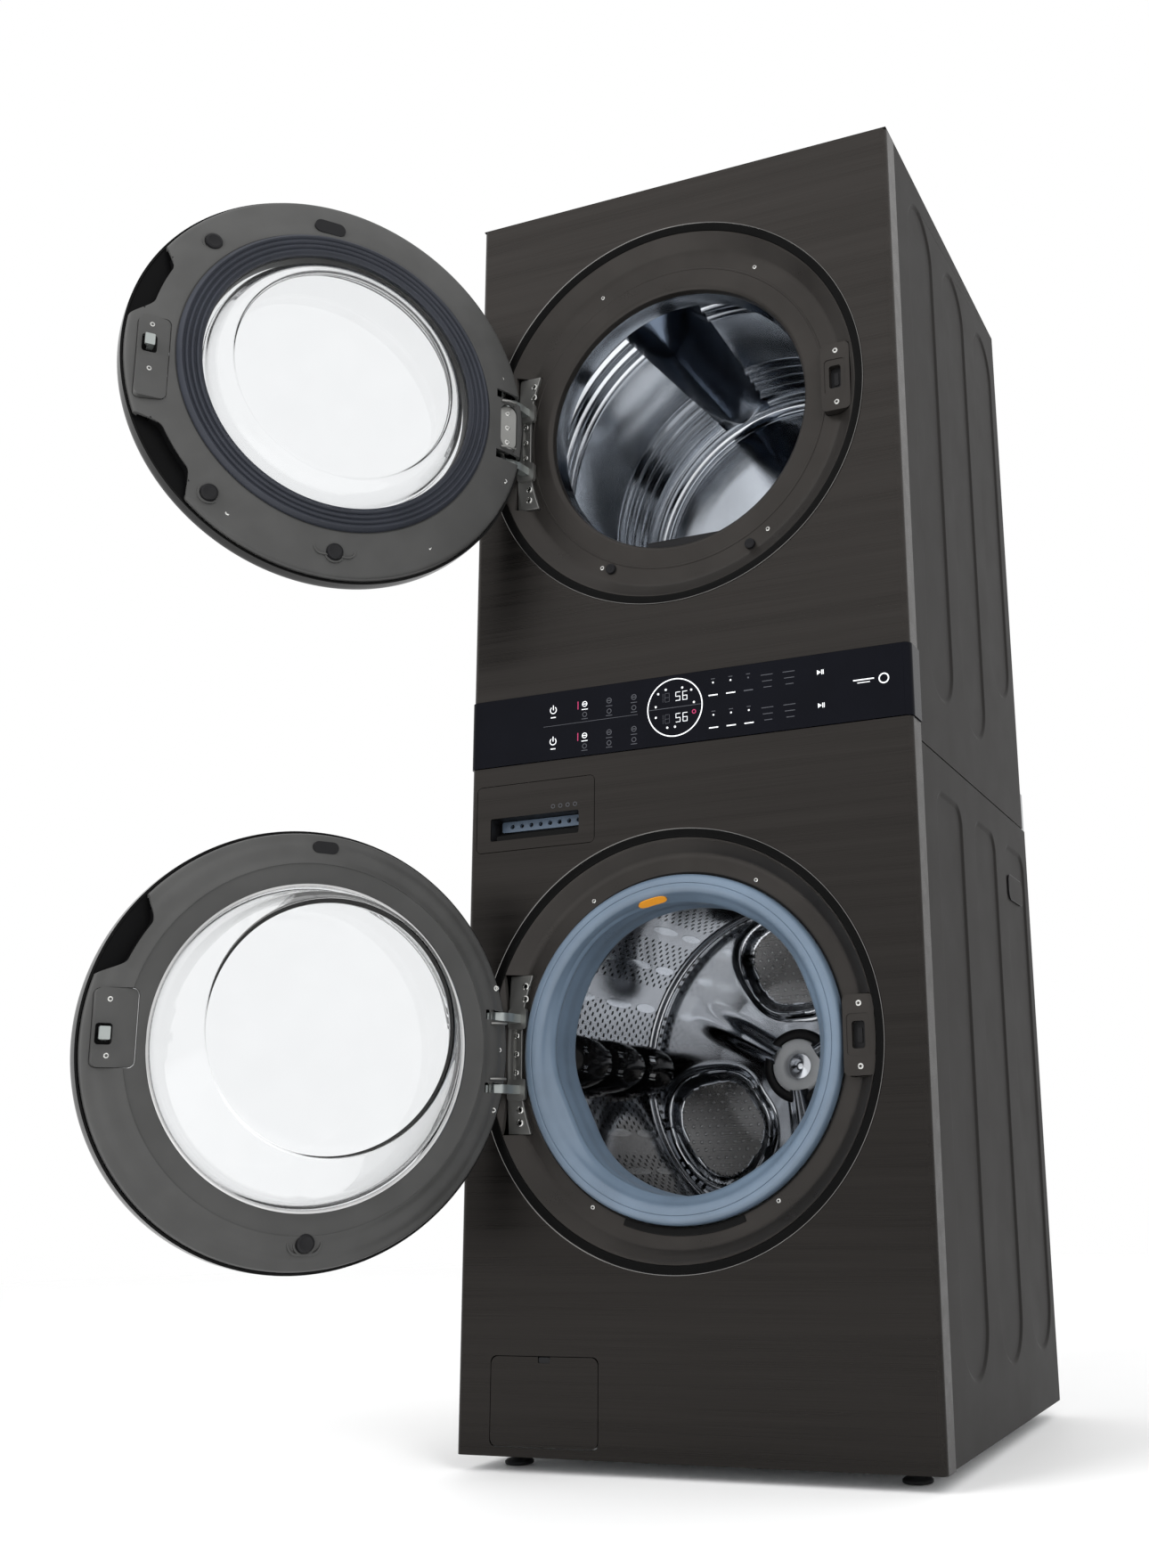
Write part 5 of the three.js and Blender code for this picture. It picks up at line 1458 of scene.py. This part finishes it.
piece("drum_wall_beads", joined(*ribs), bright_steel, "washer_drum", drum_place, smooth=50)
spider = [lathe([(0, back + 2), (62, back + 2), (60, back + 12), (34, back + 22), (15, back + 24), (15, 600),
                 (0, 600)], 64, closed=False)]
for angle in (30, 150, 270):
    arm = softened(plate([[(20, -16), (262, -10), (262, 10), (20, 16)]], back + 2.4, back + 12), 2, 2)
    spider.append(moved(arm, turn=-angle, axis="Y"))
piece("drum_spider_and_shaft", joined(*spider), cast_grey, "washer_drum", drum_place)

# %% [markdown]
# ## The dryer's drum
#
# The dryer's drum has a plain wall stiffened by rolled beads, three near the front and four near the back,
# and a domed back. Three tall baffles carry the laundry round. Each baffle is a loft of rounded triangles
# that grows from the front, stays high and falls away to the back.

# %% Beaded drum and baffles
DRY = dict(radius=306, mouth=232, front=76, back=618)
bead_at = (196, 226, 256, 452, 482, 512, 542)


def dryer_wall(y):
    dent = sum(8.0 * math.exp(-((y - bead) / 6.5) ** 2) for bead in bead_at)
    return DRY["radius"] - 3 - dent


inside = curved([(DRY["mouth"], 82), (DRY["mouth"] + 1, 77.5), (DRY["mouth"] + 8, 77.5), (284, 88), (297, 98),
                 (302.5, 112)], 5)
inside += [(dryer_wall(y), y) for y in range(118, 575, 3)]
inside += curved([(303, 580), (302, 592), (296, 603), (284, 607), (276, 602), (266, 600), (220, 604),
                  (140, 606),
                  (128, 600), (112, 588), (60, 581), (0, 580)], 6)
outside = [(0, 583), (60, 584), (110, 591), (126, 603), (140, 610), (220, 607.6), (266, 603.6), (276, 605.6),
           (284, 610.6), (299, 606), (305, 594), (306, 580)]
outside += [(dryer_wall(y) + 3, y) for y in range(574, 117, -6)]
outside += [(300, 98), (284, 85), (240, 76), (232, 76)]
dry_place = port_place["dryer"]
piece("dryer_drum_shell", lathe(inside + outside, 200), dryer_steel, "dryer_drum", dry_place,
      replaces=["dryer_drum"], smooth=40)
neck = lathe([(209.4, 36.4), (209.2, 40), (209.2, 70), (210.4, 72), (212.6, 72), (212.6, 36.4)], 160)
piece("dryer_port_neck", neck, dryer_steel, CABINET, dry_place, smooth=40)
gudgeon = lathe([(0, 584), (40, 584), (36, 596), (16, 600), (15, 616), (0, 616)], 48, closed=False)
piece("dryer_drum_gudgeon", gudgeon, cast_grey, "dryer_drum", dry_place)
BAFFLE_ANGLES = (110, 230, -10)
baffles = []
for angle in BAFFLE_ANGLES:
    sections = []
    for i in range(33):
        share = i / 32
        y = 106 + 484 * share
        rise = 86 * min(1.0, (share / 0.16) ** 0.6, ((1 - share) / 0.3) ** 0.8) + 0.5
        width = 74 - 26 * share
        ring = []
        for j in range(21):
            t = -1 + j / 10
            lift = (1 - abs(t) ** 1.25) ** 0.85
            ring.append((298 - rise * lift, y, width * t))
        sections.append(ring)
    one = loft(sections)
    bmesh.ops.transform(one, matrix=Matrix.Rotation(math.radians(-angle), 4, "Y"), verts=one.verts)
    baffles.append(one)
piece("dryer_baffles", joined(*baffles), baffle_steel, "dryer_drum", dry_place, smooth=40)

# %% [markdown]
# ## Drawer, flap and feet
#
# The detergent drawer's front and the pump flap are cut from the same steel as the panel. The drawer is
# opened by a deep slot: inside it there is a black box, and a blue-grey bar with a row of holes. The flap
# has a small catch at its top. Each foot is a rubber pad on a zinc screw with a hexagonal nut.

# %% Drawer front and slot
(x0, _, z0), (x1, _, z1) = (in_mm(corner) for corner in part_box("drawer_front"))
pull = (x0 + 23, x1 - 25, z0 + 16, z0 + 50)
face = plate([rounded(x0, x1, z0, z1, 7), rounded(*pull, 3)], 0, 2)
rim = plate([rounded(x0, x1, z0, z1, 7), rounded(x0 + 2, x1 - 2, z0 + 2, z1 - 2, 5)], 1.8, 14)
origin = Matrix.Translation(at(0, 0, 0))
piece("drawer_face", joined(face, rim), dark_steel, "detergent_drawer", origin,
      replaces=["drawer_front"])
box = [plate([rounded(pull[0] - 2, pull[1] + 2, pull[2] - 2, pull[3] + 2, 4), rounded(*pull, 3)], 0.4, 32),
       block(pull[0] - 2, pull[1] + 2, 30, 32, pull[2] - 2, pull[3] + 2, 4)]
piece("drawer_pull_box", joined(*box), black_plastic, "detergent_drawer", origin)
step = (pull[1] - pull[0] - 20) / 8
holes = [circle(pull[0] + 20 + step * (i + 0.2), pull[3] - 9, 3.4, 20) for i in range(8)]
slab = plate([rounded(pull[0] + 6, pull[1] - 4, pull[3] - 17, pull[3] - 1, 3), *holes], 24, 29.6)
lip = softened(block(pull[0] + 6, pull[1] - 4, 8, 29.6, pull[2] + 1, pull[2] + 9, 3), 1, 2)
piece("drawer_hole_bar", slab, blue_grey, "detergent_drawer", origin)
piece("drawer_pull_lip", lip, gloss_black, "detergent_drawer", origin)
# The rings take the dim mark finish, which glows faintly: painted light, since the drawer has no lamp.
marks = []
for i in range(4):
    marks.append(plate([circle(pull[1] - 42 + 12 * i, pull[3] + 9, 3.2, 20), circle(pull[1] - 42 + 12 * i,
                                                                                 pull[3] + 9, 2.4, 20)],
                       -0.25, 0.1))
piece("drawer_marks", joined(*marks), mark_dim, "detergent_drawer", origin)

# %% Pump flap
(x0, _, z0), (x1, _, z1) = (in_mm(corner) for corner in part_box("pump_access_door"))
outline = rounded(x0, x1, z0, z1, 10)
tab_x = (x0 + x1) / 2
face = carved(plate([outline], 0, 2), block(tab_x - 9, tab_x + 9, -2, 4, z1 - 8, z1 + 4, 2))
skirt = plate([rounded(x0 + 3, x1 - 3, z0 + 3, z1 - 3, 8), rounded(x0 + 5, x1 - 5, z0 + 5, z1 - 5, 6)], 1.8,
              7)
piece("pump_flap_face", joined(face, skirt), dark_steel, "pump_access_door", origin,
      replaces=["pump_access_door"])
tab = softened(block(tab_x - 8.4, tab_x + 8.4, 0.8, 5, z1 - 8, z1 - 0.6, 2), 0.5, 2)
piece("pump_flap_catch", tab, black_plastic, "pump_access_door", origin)

# %% Feet
for node in [name for name in frame["nodes"] if name.startswith("levelling_foot")]:
    low, high = (in_mm(corner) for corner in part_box(node))
    cx, cy = (low[0] + high[0]) / 2, (low[1] + high[1]) / 2
    body = node.replace("levelling_", "")
    pad = moved(lathe([(0, 0), (18.6, 0), (19.8, -1.2), (19.8, -4), (17, -6.5), (9, -8.5), (0, -8.5)], 48,
                      closed=False), turn=-90, axis="X")
    thread = [(0, 8)]
    top = high[2] - 0.4
    turns = int((top - 8) / 1.5)
    for i in range(turns):
        thread += [(4.4, 8 + 1.5 * i), (5.1, 8.75 + 1.5 * i)]
    stud = lathe(thread + [(4.4, top), (0, top)], 24, closed=False)
    for vert in stud.verts:
        vert.co.x, vert.co.y, vert.co.z = vert.co.x, vert.co.z, vert.co.y
    bmesh.ops.recalc_face_normals(stud, faces=stud.faces)
    nut = softened(plate([circle(0, 0, 10, 6)], 9.5, 15.5, "z"), 0.6, 2)
    spot = Matrix.Translation(at(cx, cy, 0))
    piece("pad_" + body, pad, black_rubber, body, spot, replaces=[node])
    piece("stud_" + body, joined(stud, nut), zinc, body, spot)

# %% [markdown]
# ## Finishes for the parts that stay as they are
#
# Inside the cabinet and at the back, the plain solids already have the right shape: pumps, ducts, springs,
# panels and feet. They only need their real surfaces, such as spangled zinc, moulded plastic or cast
# ballast. A node's finish comes from its material slot in the record, with a few exceptions given by name.

# %% Finish every engineering node
by_slot = {
    "dark_stainless": dark_steel, "side_paint": side_paint, "galvanised_steel": galvanised,
    "fascia_glass": band_glass, "circuit_board": board_green, "port_plastic": dish_satin,
    "hinge_metal": cast_grey, "door_cover": gloss_black, "door_plastic": door_satin, "door_glass": bowl_glass,
    "seal_rubber": slate_rubber, "gasket_rubber": bellows_rubber, "white_plastic": tub_plastic,
    "drum_steel": zinc, "copper_winding": copper, "concrete": ballast, "black_plastic": black_plastic,
    "black_rubber": black_rubber,
}
by_name = {"pump_filter": blue_grey, "lint_filter": black_plastic, "blower_wheel": black_plastic,
           "drawer_housing": blue_grey,
           "detergent_tray": blue_grey}
slots = {sub["node"]: sub["material_slot"] for sub in frame["record"]["subparts"]}
for node in frame["nodes"]:
    thing = bpy.data.objects[node]
    finish = by_name.get(node) or by_slot[slots[node]]
    thing.data.materials.clear()
    thing.data.materials.append(finish)
print("finished", len(slots), "nodes")

# %% [markdown]
# ## Studio
#
# The object stands in an even white room. The world is white, so glass and steel have something bright to
# reflect. Dark cards would be used in a real studio to give the steel its deep tone; here the steel's own
# dark colour does that. Two wide area lights, one high at the front left and one at the right, model the
# sides. They are hidden from reflections, so that no hard-edged rectangle shows in the glass.

# %% Floor, world and lights
shape = plate([circle(0, 0, 6000, 96)], -4, -1, "z")
bmesh.ops.scale(shape, vec=(MM, MM, MM), verts=shape.verts)
floor = as_object(shape, "studio_floor")
paper = Finish("pale_paper", (0.93, 0.93, 0.93), 0.6)
x, y, z = paper.where()
paper.colour(paper.mix(paper.noise(paper.point(x, y, z), 0.004, 2.0), (0.96, 0.96, 0.96),
                       (0.985, 0.985, 0.985)))
floor.data.materials.append(paper.material)
floor.matrix_world = Matrix.Translation((0, 0, 0))

world = bpy.data.worlds.new("white_room")
world.use_nodes = True
world.node_tree.nodes["Background"].inputs["Color"].default_value = (1, 1, 1, 1)
world.node_tree.nodes["Background"].inputs["Strength"].default_value = 1.0
bpy.context.scene.world = world


def area_light(name, place, target, width, height, power):
    lamp = bpy.data.lights.new(name, "AREA")
    lamp.shape, lamp.size, lamp.size_y, lamp.energy = "RECTANGLE", width, height, power
    thing = bpy.data.objects.new(name, lamp)
    bpy.context.scene.collection.objects.link(thing)
    look = Vector(target) - Vector(place)
    thing.matrix_world = Matrix.Translation(place) @ look.to_track_quat("-Z", "Y").to_matrix().to_4x4()
    thing.visible_glossy = False
    thing.visible_transmission = False


area_light("front_left_panel", at(-1500, -2600, 2600), at(0, 0, 1000), 1.6, 2.2, 70)
area_light("front_right_panel", at(1900, -1800, 2200), at(0, 200, 1000), 1.0, 2.0, 35)
print("lights set")
